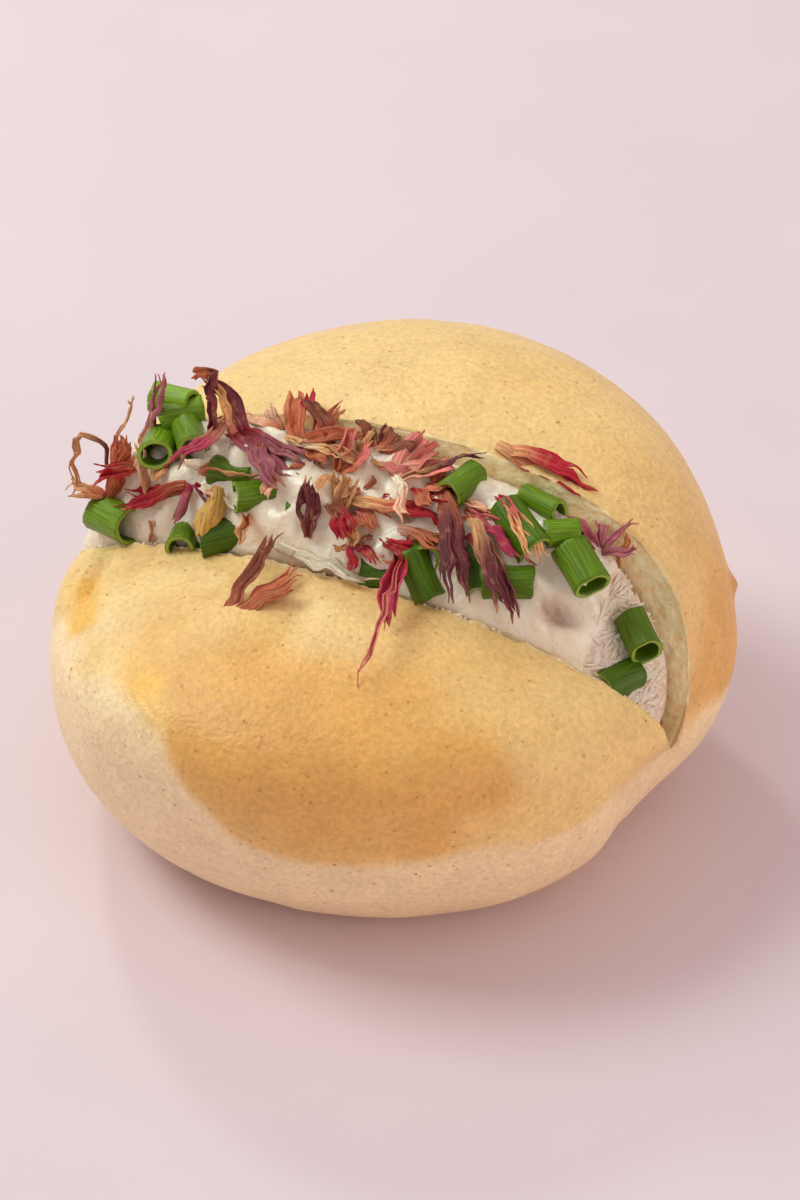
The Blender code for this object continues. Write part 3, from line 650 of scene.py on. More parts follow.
def closed_rings(rings):
    """Rings joined into one closed skin, with a middle point at each end."""
    count, sides = rings.shape[:2]
    poles = [rings[0].mean(axis=0), rings[-1].mean(axis=0)]
    points = np.concatenate([rings.reshape(-1, 3), poles])
    k = np.arange(sides)
    k_after = (k + 1) % sides
    start, end, last = count * sides, count * sides + 1, (count - 1) * sides
    fans = np.concatenate([np.stack([np.full(sides, start), k_after, k], -1),
                           np.stack([np.full(sides, end), last + k, last + k_after], -1)])
    return points, [ring_faces(count, sides), fans]


def volume_of(points, faces):
    """Six times the signed volume of a closed shape of triangles and quads: positive
    when they face outwards."""
    total = 0.0
    for group in faces:
        for k in range(1, group.shape[1] - 1):
            a, b, c = points[group[:, 0]], points[group[:, k]], points[group[:, k + 1]]
            total += (a * np.cross(b, c)).sum()
    return total


def unit(vectors):
    """Vectors scaled to length 1."""
    return vectors / np.maximum(np.linalg.norm(vectors, axis=-1, keepdims=True), 1e-9)


def grid_normals(grid):
    """Unit normals of a grid that closes on itself along its second side: the
    cross product of the two central differences."""
    one = np.gradient(grid, axis=0)
    two = np.roll(grid, -1, axis=1) - np.roll(grid, 1, axis=1)
    return unit(np.cross(one, two))


def direction(heading, pitch):
    """Unit vectors from a heading and a pitch in degrees."""
    h, p = np.radians(heading), np.radians(pitch)
    return np.stack([np.cos(h) * np.cos(p), np.sin(h) * np.cos(p), np.sin(p)], axis=-1)


def tree_of(points, faces):
    """A closed shape as a tree that a ray can be cast against."""
    polygons = [corners for group in faces for corners in group.tolist()]
    return BVHTree.FromPolygons(points.tolist(), polygons)


def seen_from_above(surface, x, y):
    """The top point of a surface over a place on the base, and the normal there.
    Both are None where there is no surface."""
    place, normal, _, _ = surface.ray_cast(Vector((x, y, RAY_HEIGHT)), Vector((0.0, 0.0, -1.0)))
    return place, normal


def make_piece(name, points, faces, material, layers=(), uv=None):
    """Make a mesh piece in metres from points in millimetres and lists of faces.

    The faces turn outwards. A layer is a name and one value, or one colour, for
    each point. The piece rides on the frame's only body.
    """
    if volume_of(points, faces) < 0.0:
        faces = [group[:, ::-1] for group in faces]
    mesh = bpy.data.meshes.new(name)
    corners = np.concatenate([group.ravel() for group in faces])
    sizes = np.concatenate([np.full(len(group), group.shape[1]) for group in faces])
    starts = np.concatenate([[0], np.cumsum(sizes)[:-1]])
    mesh.vertices.add(len(points))
    mesh.vertices.foreach_set("co", (points * MM).astype(np.float32).ravel())
    mesh.loops.add(len(corners))
    mesh.loops.foreach_set("vertex_index", corners.astype(np.int32))
    mesh.polygons.add(len(sizes))
    mesh.polygons.foreach_set("loop_start", starts.astype(np.int32))
    mesh.update(calc_edges=True)
    for layer, values in layers:
        if values.ndim == 1:
            made = mesh.attributes.new(layer, "FLOAT", "POINT")
            made.data.foreach_set("value", values.astype(np.float32))
        else:
            made = mesh.attributes.new(layer, "FLOAT_COLOR", "POINT")
            full = np.concatenate([values, np.ones((len(values), 1))], axis=1)
            made.data.foreach_set("color", full.astype(np.float32).ravel())
    if uv is not None:
        made = mesh.uv_layers.new(name=FLOW)
        made.data.foreach_set("uv", uv[corners].astype(np.float32).ravel())
    mesh.shade_smooth()
    mesh.materials.append(material)
    piece = bpy.data.objects.new(name, mesh)
    bpy.context.scene.collection.objects.link(piece)
    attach(piece, "root")
    return piece


def linear(colour):
    """A colour from screen values of 0 to 255 to linear values of 0 to 1."""
    c = np.asarray(colour, dtype=float) / 255.0
    return np.where(c <= 0.04045, c / 12.92, ((c + 0.055) / 1.055) ** 2.4)


def feed(tree, node, inputs):
    """Give a node its inputs: a value is set, and another node's output is linked."""
    for key, value in dict(inputs).items():
        if isinstance(value, bpy.types.NodeSocket):
            tree.links.new(value, node.inputs[key])
        else:
            node.inputs[key].default_value = value


def add_node(tree, kind, inputs=(), **settings):
    """Add a shader node with its inputs. A setting is an option of the node itself."""
    made = tree.nodes.new(kind)
    for key, value in settings.items():
        setattr(made, key, value)
    feed(tree, made, inputs)
    return made


def math_node(tree, operation, first, second=0.0, third=0.0):
    """One arithmetic step on single values."""
    made = add_node(tree, "ShaderNodeMath", {0: first, 1: second, 2: third},
                    operation=operation)
    return made.outputs[0]


def step_node(tree, value, low, high, start=0.0, end=1.0):
    """An S-curve from start to end as the value goes from low to high."""
    made = add_node(tree, "ShaderNodeMapRange",
                    {"Value": value, "From Min": low, "From Max": high,
                     "To Min": start, "To Max": end},
                    interpolation_type="SMOOTHSTEP")
    return made.outputs["Result"]


def blend_node(tree, factor, first, second, blend="MIX"):
    """Blend two colours by a factor. Each is a node's output or three linear values."""
    made = add_node(tree, "ShaderNodeMix", data_type="RGBA", blend_type=blend)
    first, second = (colour if isinstance(colour, bpy.types.NodeSocket) else (*colour, 1.0)
                     for colour in (first, second))
    feed(tree, made, {0: factor, 6: first, 7: second})
    return made.outputs[2]


def noise_node(tree, vector, scale, detail=2.0, roughness=0.5):
    """Soft noise from 0 to 1 at so many bumps per metre."""
    made = add_node(tree, "ShaderNodeTexNoise",
                    {"Vector": vector, "Scale": scale, "Detail": detail,
                     "Roughness": roughness})
    return made.outputs["Fac"]


def streak_node(tree, close, detail, roughness):
    """Soft noise drawn out along a piece: so close along it and across it."""
    flow = add_node(tree, "ShaderNodeUVMap", uv_map=FLOW).outputs["UV"]
    lines = add_node(tree, "ShaderNodeMapping", {"Vector": flow, "Scale": close})
    return noise_node(tree, lines.outputs["Vector"], 1.0, detail, roughness)


def layer_node(tree, name, output="Fac"):
    """Read one of the piece's own layers of values."""
    made = add_node(tree, "ShaderNodeAttribute", attribute_name=name,
                    attribute_type="GEOMETRY")
    return made.outputs[output]


def new_material(name, roughness, index, subsurface=0.0, depth=SUBSURFACE_DEPTH_M, **sockets):
    """A material with a Principled shader, and its own object coordinates.

    The index is of refraction, subsurface is the weight of the light that goes in
    under the surface, and depth how far it goes, in metres. Other sockets go by name.
    """
    made = bpy.data.materials.new(name)
    made.use_nodes = True
    tree = made.node_tree
    shader = tree.nodes["Principled BSDF"]
    feed(tree, shader, {"Roughness": roughness, "IOR": index,
                        "Subsurface Weight": subsurface, "Subsurface Scale": depth})
    feed(tree, shader, {socket.replace("_", " "): value for socket, value in sockets.items()})
    return made, tree, shader, add_node(tree, "ShaderNodeTexCoord").outputs["Object"]


def dress(tree, shader, colour, height=None, distance=0.0, rough=None):
    """Give a shader its colour, a relief whose height at 1 is the distance in
    millimetres, and its roughness where that varies."""
    shader_inputs = {"Base Color": colour}
    if height is not None:
        relief = add_node(tree, "ShaderNodeBump", {"Distance": distance * MM, "Height": height})
        shader_inputs["Normal"] = relief.outputs["Normal"]
    if rough is not None:
        shader_inputs["Roughness"] = rough
    feed(tree, shader, shader_inputs)


def shade_node(tree, colour, shade):
    """Multiply a colour by a value."""
    return blend_node(tree, 1.0, colour, shade, "MULTIPLY")


def speckle_group():
    """The node group for scattered round spots: where a cell's random value is under
    the share, a disc of random size round the cell's point."""
    if "scattered_specks" in bpy.data.node_groups:
        return bpy.data.node_groups["scattered_specks"]
    group = bpy.data.node_groups.new("scattered_specks", "ShaderNodeTree")
    face = group.interface
    face.new_socket("Vector", in_out="INPUT", socket_type="NodeSocketVector")
    for name, value in (("Scale", 300.0), ("Share", 0.3), ("Size", 0.2)):
        socket = face.new_socket(name, in_out="INPUT", socket_type="NodeSocketFloat")
        socket.default_value = value
    face.new_socket("Mask", in_out="OUTPUT", socket_type="NodeSocketFloat")
    enter, leave = group.nodes.new("NodeGroupInput"), group.nodes.new("NodeGroupOutput")
    cells = add_node(group, "ShaderNodeTexVoronoi",
                     {"Vector": enter.outputs["Vector"], "Scale": enter.outputs["Scale"],
                      "Randomness": 1.0}, feature="F1")
    chance = add_node(group, "ShaderNodeSeparateColor", {"Color": cells.outputs["Color"]})
    chosen = math_node(group, "LESS_THAN", chance.outputs["Red"], enter.outputs["Share"])
    size = math_node(group, "MULTIPLY_ADD", chance.outputs["Green"], 0.7, 0.3)
    size = math_node(group, "MULTIPLY", size, enter.outputs["Size"])
    ratio = math_node(group, "DIVIDE", cells.outputs["Distance"], size)
    disc = step_node(group, ratio, 1.0, 0.5)
    mask = math_node(group, "MULTIPLY", disc, chosen)
    group.links.new(mask, leave.inputs["Mask"])
    return group


def specks(tree, place, scale, share, size):
    """Scattered spots on a surface, as a mask."""
    made = add_node(tree, "ShaderNodeGroup", node_tree=speckle_group())
    feed(tree, made, {"Vector": place, "Scale": scale, "Share": share, "Size": size})
    return made.outputs["Mask"]


def bread_material(look):
    """Satin leathery skin: golden crust that pales to the underside, browner and
    yellower places, brown and white specks, and pale crumb where it is cut, with
    painted shade in the low spots of its pores."""
    made, tree, shader, place = new_material("bread_skin", 0.5, 1.47, 0.15, 0.003,
                                             Subsurface_Radius=(1.0, 0.6, 0.3))
    wide = noise_node(tree, place, 90.0, 3.0)
    fine = noise_node(tree, place, 1500.0, 2.0, 0.6)
    edge = math_node(tree, "MULTIPLY_ADD", wide, 0.5, -0.25)
    pale = step_node(tree, math_node(tree, "ADD", layer_node(tree, "pale"), edge), 0.25, 0.75)
    colour = blend_node(tree, pale, look.crust, look.underside)
    patchy = math_node(tree, "MULTIPLY_ADD", wide, 1.2, -0.6)
    brown = math_node(tree, "ADD", layer_node(tree, "brown"), patchy)
    deeper = math_node(tree, "MULTIPLY", step_node(tree, pale, 1.0, 0.0),
                       step_node(tree, brown, -0.1, 0.75))
    colour = blend_node(tree, deeper, colour, look.golden)
    colour = blend_node(tree, step_node(tree, brown, 0.7, 1.5), colour, look.toasted)
    yellow = step_node(tree, layer_node(tree, "yellow"), 0.1, 1.0)
    colour = blend_node(tree, yellow, colour, look.yellow)
    colour = shade_node(tree, colour, step_node(tree, fine, 0.3, 0.7, 0.9, 1.06))
    mottle = noise_node(tree, place, 210.0, 3.0, 0.55)
    colour = shade_node(tree, colour, step_node(tree, mottle, 0.3, 0.7, 0.94, 1.03))
    for scale, share, size, strength, tint in ((900.0, 0.45, 0.3, 0.45, look.speck),
                                               (520.0, 0.42, 0.13, 0.9, look.speck),
                                               (330.0, 0.10, 0.07, 0.7, FLOUR)):
        spots = math_node(tree, "MULTIPLY", specks(tree, place, scale, share, size), strength)
        colour = blend_node(tree, spots, colour, tint)
    crumb = layer_node(tree, "crumb")
    pores = noise_node(tree, place, 900.0, 3.0, 0.65)
    # The deeper crumb lies in the low spots of the pores: painted shade.
    inside = blend_node(tree, step_node(tree, pores, 0.25, 0.6), look.crumb_shade, look.crumb)
    colour = blend_node(tree, crumb, colour, inside)
    rough = math_node(tree, "MULTIPLY_ADD", crumb, 0.3, look.roughness)
    rough = math_node(tree, "MULTIPLY_ADD", fine, 0.15, rough)
    leather = add_node(tree, "ShaderNodeTexVoronoi", {"Vector": place, "Scale": 1700.0},
                       feature="SMOOTH_F1").outputs["Distance"]
    medium = noise_node(tree, place, 450.0, 3.0, 0.6)
    height = math_node(tree, "MULTIPLY", medium, 0.6)
    height = math_node(tree, "MULTIPLY_ADD", leather, 0.35, height)
    height = math_node(tree, "MULTIPLY_ADD", fine, 0.7, height)
    torn = math_node(tree, "MULTIPLY", pores, 0.7)
    height = math_node(tree, "MULTIPLY_ADD", crumb, torn, height)
    dress(tree, shader, colour, height, look.grain_height, rough)
    return made


def cream_material(look):
    """Moist off-white mayonnaise with a few green bits, pinker where tuna shows
    through, and brown painted shade in the hollow."""
    made, tree, shader, place = new_material("tuna_mayonnaise_cream", 0.3, 1.45, 0.35, 0.002,
                                             Subsurface_Radius=(1.0, 0.7, 0.5),
                                             Coat_Weight=0.25, Coat_Roughness=0.2)
    wide = noise_node(tree, place, 260.0, 3.0, 0.6)
    fine = noise_node(tree, place, 1300.0, 2.0, 0.6)
    colour = blend_node(tree, step_node(tree, wide, 0.35, 0.7), look.cream, look.cream_shade)
    tuna = layer_node(tree, "tuna")
    patchy = math_node(tree, "MULTIPLY_ADD", wide, 0.7, -0.35)
    tuna = step_node(tree, math_node(tree, "ADD", tuna, patchy), 0.25, 0.8)
    meat = blend_node(tree, step_node(tree, fine, 0.35, 0.65), look.tuna_shade, look.tuna)
    colour = blend_node(tree, tuna, colour, meat)
    # The hollow layer mixes in dark brown: painted shade, deepest in the hollow's middle.
    colour = blend_node(tree, layer_node(tree, "hollow"), colour, look.hollow)
    herb = math_node(tree, "MULTIPLY", specks(tree, place, 420.0, 0.06, 0.16), 0.5)
    colour = blend_node(tree, herb, colour, HERB)
    rough = math_node(tree, "MULTIPLY_ADD", tuna, 0.2, look.cream_roughness)
    rough = math_node(tree, "MULTIPLY_ADD", wide, 0.2, rough)
    curds = noise_node(tree, place, 620.0, 3.0, 0.6)
    height = math_node(tree, "MULTIPLY_ADD", fine, 0.35, math_node(tree, "ADD", wide, curds))
    dress(tree, shader, colour, height, 0.35, rough)
    return made


def shred_material(look):
    """Satin shreds of cooked tuna, coated with a little cream."""
    made, tree, shader, place = new_material("tuna_shreds_satin", 0.4, 1.42, 0.2, 0.001)
    wide = step_node(tree, noise_node(tree, place, 500.0), 0.3, 0.7)
    colour = blend_node(tree, wide, look.tuna, look.cream_shade)
    dress(tree, shader, colour, noise_node(tree, place, 2500.0), 0.06)
    return made


def chive_material(look):
    """Satin green with fine lines along the tube, paler on the cut ends and
    yellow-green inside. Each tube's green lies between dark and light by its own value,
    partly its own green and partly painted light and shade."""
    made, tree, shader, _ = new_material("onion_green", 0.35, 1.36, 0.1, 0.001)
    streak = streak_node(tree, (1.2, 52.0, 1.0), 2.0, 0.6)
    # Dark to light green for each tube: partly its own green, partly painted light and shade.
    colour = blend_node(tree, layer_node(tree, "light"), look.dark_green, look.light_green)
    colour = shade_node(tree, colour, step_node(tree, streak, 0.3, 0.75, 0.75, 1.5))
    colour = blend_node(tree, layer_node(tree, "inside"), colour, look.inside_green)
    colour = blend_node(tree, layer_node(tree, "end"), colour, look.end_green)
    rough = step_node(tree, streak, 0.3, 0.7, 0.28, 0.45)
    dress(tree, shader, colour, streak, 0.08, rough)
    return made


def petal_material():
    """Dry matt petals in their own colours, with darker and lighter lines along the
    strip, partly veins and partly painted shade in the folds between pleats, and
    brown and worn dark patches."""
    made, tree, shader, place = new_material("dried_petal", 0.6, 1.3, 0.1, 0.0005)
    streak = streak_node(tree, (2.2, 5.5, 1.0), 3.0, 0.7)
    colour = layer_node(tree, "petal_colour", "Color")
    # The streaks darken and lighten the colour: partly veins, partly painted shade in the folds between
    # pleats.
    colour = shade_node(tree, colour, step_node(tree, streak, 0.3, 0.7, 0.6, 1.35))
    patch = step_node(tree, noise_node(tree, place, 900.0), 0.52, 0.7, 0.0, 0.4)
    colour = blend_node(tree, patch, colour, PETAL_PATCH)
    worn = step_node(tree, noise_node(tree, place, 1700.0), 0.55, 0.75, 0.0, 0.35)
    colour = blend_node(tree, worn, colour, PETAL_WORN)
    dress(tree, shader, colour, streak, 0.12)
    return made


def soft_spots(points, rows):
    """Round spots added up, from rows of place, spread and strength: the strength
    times exp(-distance^2 / spread^2)."""
    total = np.zeros(len(points))
    for *middle, spread, strength in rows:
        distance = np.linalg.norm(points - np.array(middle), axis=1)
        total += strength * np.exp(-(distance / spread) ** 2)
    return total


def skin_masks(points):
    """How pale, brown and yellow the crust is at each point.

    The crust is pale below an edge whose height depends on the angle round the
    bun: 18 mm on the front right, 29.5 mm on the front left and 14 mm on the rear
    lobe. Brown and yellow places are soft round spots.
    """
    x, y, z = points[:, 0], points[:, 1], points[:, 2]
    angle = np.degrees(np.arctan2(y - CUT_Y, x))
    climb = smooth_step(-88.0, -110.0, angle) * smooth_step(-178.0, -140.0, angle)
    edge = PALE_HEIGHT + PALE_CLIMB * climb - PALE_DROP * smooth_step(-20.0, 40.0, angle)
    edge += clouds(points, PALE_EDGE_NOISE)
    pale = smooth_step(PALE_SOFTNESS, -PALE_SOFTNESS, z - edge)
    return pale, soft_spots(points, BROWN_PLACES), soft_spots(points, YELLOW_PLACES)


def skin_relief(points):
    """Height of the skin over the smooth form: broad and fine soft noise, and
    each dent as a bell curve with its own spread along x, y and z."""
    height = clouds(points, SKIN_NOISE)
    for x, y, z, wide_x, wide_y, wide_z, amount in SKIN_DENTS:
        away = (points - np.array([x, y, z])) / np.array([wide_x, wide_y, wide_z])
        height += amount * np.exp(-(away ** 2).sum(axis=-1))
    return height


def build_bun(look):
    """The bread: the bun's rings at a fine step, moved along their normals by the
    skin's relief, by the crumb's torn pits where the bread is cut, and by a fray
    along the rim."""
    low = np.linspace(0.0, 1.0, look.low_rings)
    high = 1.0 - (1.0 - np.linspace(0.0, 1.0, look.high_rings)) ** HIGH_CROWDING
    wall = np.linspace(0.0, 1.0, look.wall_rings) ** WALL_CROWDING
    rings = bun_rings(round_the_bun(look.sides), low, high, wall)
    lip = look.low_rings + look.high_rings - 2
    first, last = lip - LIP_SMOOTHING, lip + LIP_SMOOTHING + 1
    for _ in range(2):
        rings[first:last] = (0.5 * rings[first:last] + 0.25 * rings[first - 1:last - 1]
                             + 0.25 * rings[first + 1:last + 1])
    normal = grid_normals(rings)
    middle = rings.mean(axis=(0, 1))
    if normal[look.low_rings, 0].dot(rings[look.low_rings, 0] - middle) < 0.0:
        normal = -normal
    ring = np.arange(len(rings))[:, None]
    crumb = smooth_step(-1.0, 1.0, ring - lip + clouds(rings, RAGGED_NOISE))
    skin = skin_relief(rings.reshape(-1, 3)).reshape(crumb.shape)
    skin *= smooth_step(0.0, 6.0, rings[..., 2])
    torn = clouds(rings, TORN_NOISE) - PORE_DEPTH * smooth_step(0.55, 0.15, pits(rings, *PORES))
    fray = np.exp(-((ring - lip) / FRAY_RINGS) ** 2) * clouds(rings, FRAY_NOISE)
    relief = skin * (1.0 - crumb) + torn * crumb * TORN_SHARE + fray
    rings = rings + normal * relief[..., None]
    points, faces = closed_rings(rings)
    points[:, 2] = np.maximum(points[:, 2], 0.0)
    pale, brown, yellow = skin_masks(points)
    crumb = np.concatenate([crumb.ravel(), [0.0, 1.0]])
    layers = (("pale", pale), ("brown", brown), ("yellow", yellow), ("crumb", crumb))
    piece = make_piece("bun_bread", points, faces, bread_material(look), layers)
    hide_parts("bun")


def filling_relief(points):
    """Height of the filling over its smooth form, how much tuna shows, and how
    dark the painted shade in the hollow is.

    The mayonnaise has soft noise at three sizes, and swellings as bell curves.
    Right of a wavy edge it drops a step to the looser tuna, whose noise is ridged:
    1 minus the size of soft noise. The left part is ridged a little too. The
    hollow is a long bell curve.
    """
    x, y = points[..., 0], points[..., 1]
    flat = points * np.array([1.0, 1.0, 0.3])
    soft = clouds(flat, CREAM_NOISE)
    for over_x, over_y, spread, amount in CREAM_SWELLS:
        soft += amount * np.exp(-((x - over_x) ** 2 + (y - over_y) ** 2) / spread ** 2)
    edge = LOOSE_FROM_X + 0.5 * np.sin(0.9 * y) + 0.5 * cloud(flat, 2.5, 54)
    loose = smooth_step(-0.25, 0.35, x - edge)
    stretched = flat * np.array([1.0, 0.45, 1.0])
    ridges = 1.0 - np.abs(cloud(stretched, 1.3, 55)) - 0.5 * np.abs(cloud(stretched, 0.6, 56))
    right_of_it, behind_it = x - HOLLOW_PLACE[0], y - HOLLOW_PLACE[1]
    along_it = HOLLOW_WAY[0] * right_of_it + HOLLOW_WAY[1] * behind_it
    beside_it = HOLLOW_WAY[0] * behind_it - HOLLOW_WAY[1] * right_of_it
    hollow = np.exp(-(along_it / HOLLOW_REACH[0]) ** 2 - (beside_it / HOLLOW_REACH[1]) ** 2)
    height = soft * (1.0 - loose) + (LOOSE_RIDGES * ridges - LOOSE_DROP) * loose
    height -= HOLLOW_DEPTH * hollow
    height += smooth_step(-8.0, -20.0, x) * LEFT_RIDGES * (1.0 - np.abs(cloud(flat, 1.8, 57)))
    show = 0.9 * loose + 0.9 * hollow + 0.35 * smooth_step(0.1, 0.8, -cloud(flat, 3.2, 51))
    # The third value is the painted shade for the hollow.
    return height, np.clip(show, 0.0, 1.0), HOLLOW_PAINTED_SHADE * hollow ** 1.5


def filling_shape(look):
    """The loft along the cut at a fine step, raised by its relief, with its masks."""
    across = np.linspace(0.0, 1.0, look.across_steps)
    loops = filling_loops(look.stations, across, look.wall_steps)
    height, show, hollow = filling_relief(loops)
    fade = np.zeros(loops.shape[:2])
    edge = smooth_step(0.0, 0.08, np.minimum(across, 1.0 - across))
    fade[:, :look.across_steps] = 0.25 + 0.75 * edge
    loops[..., 2] += height * fade
    points, faces = closed_rings(loops)
    show = np.concatenate([show.ravel(), [1.0, 1.0]])
    # The hollow layer is painted shade.
    hollow = np.concatenate([hollow.ravel(), [0.0, 0.0]])
    return points, faces, (("tuna", show), ("hollow", hollow))


def build_filling(look):
    """The tuna mayonnaise in the cut."""
    points, faces, layers = filling_shape(look)
    piece = make_piece("tuna_filling", points, faces, cream_material(look),
                       layers)
    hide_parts("filling")


def core_surface():
    """The filling's smooth form as the solid has it, to sink the onion tubes in."""
    across = np.linspace(0.0, 1.0, CORE_TOP_STEPS)
    loops = filling_loops(CORE_STATIONS, across, CORE_WALL_STEPS)
    return tree_of(*closed_rings(loops))


def cream_surface(look):
    """The filling with its relief, to lay petals and shreds on."""
    return tree_of(*filling_shape(look)[:2])


def skin_surface():
    """The bun's smooth form at a coarse step, to lay petals on."""
    share = np.linspace(0.0, 1.0, 14)
    return tree_of(*closed_rings(bun_rings(round_the_bun(96), share, share, share)))


def build_chives(look):
    """Onion tubes: a circle carried along a straight axis, outside and back through
    the bore, with its radius rippled by fine ribs and squashed to a slight oval.
    Each end is slanted and ragged, and the tube is a little narrower at the middle."""
    heap = core_surface()
    random = np.random.default_rng(SEED + 1)
    sides, steps = look.chive_sides, look.chive_steps
    turn = once_round(sides)
    out = np.linspace(-0.5, 0.5, steps)
    profile = np.concatenate([out, [0.5, 0.5], out[::-1], [-0.5, -0.5]])
    wall = np.concatenate([np.zeros(steps), CHIVE_ROUNDING, np.ones(steps),
                           CHIVE_ROUNDING[::-1]])
    parts = (steps, 2, steps, 2)
    rings, flows = [], []
    for x, y, lift, heading, pitch, length, radius, _ in CHIVES:
        middle = np.array([x, y, seen_from_above(heap, x, y)[0].z + lift])
        axis, side = direction(heading, pitch), direction(heading + 90.0, 0.0)
        top = np.cross(axis, side)
        ribs = np.sin(turn * random.integers(*CHIVE_RIBS) + random.uniform(0, 6))
        oval = 1.0 - CHIVE_OVAL * np.cos(2.0 * turn + random.uniform(0, 6))
        waist = 1.0 - CHIVE_WAIST * np.cos(math.pi * profile)
        uneven = (oval + CHIVE_RIB_HEIGHT * ribs)[None, :] * waist[:, None]
        flare = look.chive_share * radius * uneven - CHIVE_WALL * wall[:, None]
        slant = CHIVE_SLANT * np.cos(turn + random.uniform(0, 6)) * random.uniform(0.3, 1.0)
        ragged = CHIVE_RAGGED * np.sin(5 * turn + random.uniform(0, 6))
        near_end = np.sign(profile)[:, None] * (np.abs(profile)[:, None] * 2.0) ** 4
        shift = profile[:, None] * length + (slant + ragged) * near_end
        circle = np.cos(turn)[:, None] * side + np.sin(turn)[:, None] * top
        rings.append(middle + circle[None] * flare[..., None] + axis * shift[..., None])
        flows.append(np.stack(np.broadcast_arrays(profile[:, None] + random.uniform(0, 50),
                                                  turn[None, :] / (2 * math.pi)), axis=-1))
    size = len(profile) * sides
    faces = repeated(ring_faces(len(profile) + 1, sides) % size, len(CHIVES), size)
    inside, end = np.repeat((0, 0, 1, 0), parts), np.repeat((0, 1, 0, 1), parts)
    # The light layer carries each tube's painted light and shade as well as its own green.
    masks = (("light", np.repeat([row[-1] for row in CHIVES], size)),
             ("inside", np.tile(np.repeat(inside, sides), len(CHIVES))),
             ("end", np.tile(np.repeat(end, sides), len(CHIVES))))
    make_piece("onion_tubes", np.stack(rings).reshape(-1, 3), [faces], chive_material(look),
               masks, np.stack(flows).reshape(-1, 2))


def petal_path(root, heading, pitch, length, bend, crinkle, random):
    """A petal's path and the frame along it: shares of the length, places, ways to
    the side and ways out of the flat.

    The pitch changes evenly along the path (early on, where the petal bends right
    over). A small wobble, smoothed over three points, is added to both sides.
    """
    far = np.linspace(0.0, PATH_END, PATH_POINTS)
    bent = smooth_step(*SHARP_BEND_AT, far) if abs(bend) > SHARP_BEND else far
    ways = direction(heading, pitch + bend * 0.5 * (bent[1:] + bent[:-1]))
    walked = np.cumsum(ways * length * (far[1] - far[0]), axis=0)
    path = root + np.concatenate([np.zeros((1, 3)), walked])
    tangent = direction(heading, pitch + bend * bent)
    flat = np.broadcast_to(direction(heading + 90.0, 0.0), tangent.shape)
    up = np.cross(tangent, flat)
    knots = np.linspace(0.0, PATH_END, max(4, int(length)))
    wobble = random.normal(0.0, crinkle, (2, len(knots))) * (knots > 0.0)
    shift = [np.interp(far, knots, row) for row in wobble]
    shift = [0.25 * np.roll(row, 1) + 0.5 * row + 0.25 * np.roll(row, -1) for row in shift]
    return far, path + flat * shift[0][:, None] + up * shift[1][:, None], flat, up


def petal_strands(root, heading, pitch, length, bend, width, twist, look, random):
    """One dried petal: a pleated ribbon, rolled across its width, that splits into
    pointed lobes near its tip. It comes as three narrow closed strands side by side,
    each with its shares of the length and its places across the ribbon.

    The flat side turns by the twist along the path. Across the ribbon V goes from
    -1 to 1: its place is half the width times sin(aV)/a to the side and
    (cos(aV)-1)/a out of the flat, plus a sum of sine pleats. Past the split each
    strand narrows to a point, leans and curls. Soft noise crumples the whole.
    """
    far, *frame_rows = petal_path(root, heading, pitch, length, bend, look.petal_crinkle, random)
    rolled = random.uniform(*ROLL_ANGLE) * random.choice((-1.0, 1.0))
    drift, phases = random.uniform(-2.5, 2.5, 3), random.uniform(0.0, 6.3, 3)
    split = random.uniform(*SPLIT_FROM) if width < WHOLE_WIDTH else SPLIT_FROM[1]
    v = np.linspace(-1.0, 1.0, look.petal_folds + 1)
    for strand in (-1.0, 0.0, 1.0):
        s = np.linspace(0.0, random.uniform(*STRAND_LENGTH), look.petal_steps + 1)
        opens = min(split, s[-1] - SPLIT_SHORTEST)
        middle, side, out = (np.stack([np.interp(s, far, rows[:, k]) for k in range(3)], axis=-1)
                             for rows in frame_rows)
        roll = np.radians(twist * (s - PETAL_FLAT_AT))[:, None]
        across = side * np.cos(roll) + out * np.sin(roll)
        normal = out * np.cos(roll) - side * np.sin(roll)
        belly = np.sin(math.pi * np.clip(PETAL_BELLY[0] * (1.0 - s) + PETAL_BELLY[1] * s, 0, 1))
        half = PETAL_FULLNESS * width * (PETAL_ROOT_WIDTH + (1.0 - PETAL_ROOT_WIDTH) * belly)
        past = np.clip((s - opens) / (s[-1] - opens), 0.0, 1.0)
        narrow = STRAND_TIP + (1.0 - STRAND_TIP) * (1.0 - past) ** 0.6
        lean = 1.0 + random.uniform(-STRAND_LEAN, STRAND_LEAN) * past
        big_v = strand * (2.0 / 3.0) * lean[:, None] + v[None, :] * narrow[:, None] / 3.0
        big_v = big_v + (random.uniform(-STRAND_SHIFT, STRAND_SHIFT) * past ** 2)[:, None]
        curve = rolled * (1.0 - 0.5 * s)[:, None]
        flat_part = half[:, None] * np.sin(curve * big_v) / curve
        deep_part = half[:, None] * (np.cos(curve * big_v) - 1.0) / curve
        pleats = sum(depth * np.sin(count * big_v + phase + turn * s[:, None])
                     for (count, depth), turn, phase in zip(PLEATS, drift, phases))
        curl = random.uniform(-STRAND_CURL, STRAND_CURL) * past ** 2 * min(1.2, 0.15 * length)
        rise = deep_part + pleats * np.minimum(1.0, 0.3 + half)[:, None] + curl[:, None]
        sheet = middle[:, None] + across[:, None] * flat_part[..., None] \
            + normal[:, None] * rise[..., None]
        crumple = np.stack([clouds(sheet, rows) for rows in CRUMPLES], axis=-1)
        sheet = sheet + look.petal_crumple * crumple * smooth_step(0.0, 0.3, s)[:, None, None]
        thin = unit(np.cross(np.gradient(sheet, axis=0), np.gradient(sheet, axis=1)))
        thick = 0.5 * look.petal_thickness
        ring = np.concatenate([sheet + thin * thick, (sheet - thin * thick)[:, ::-1]], axis=1)
        yield ring, s, np.concatenate([big_v, big_v[:, ::-1]], axis=1)


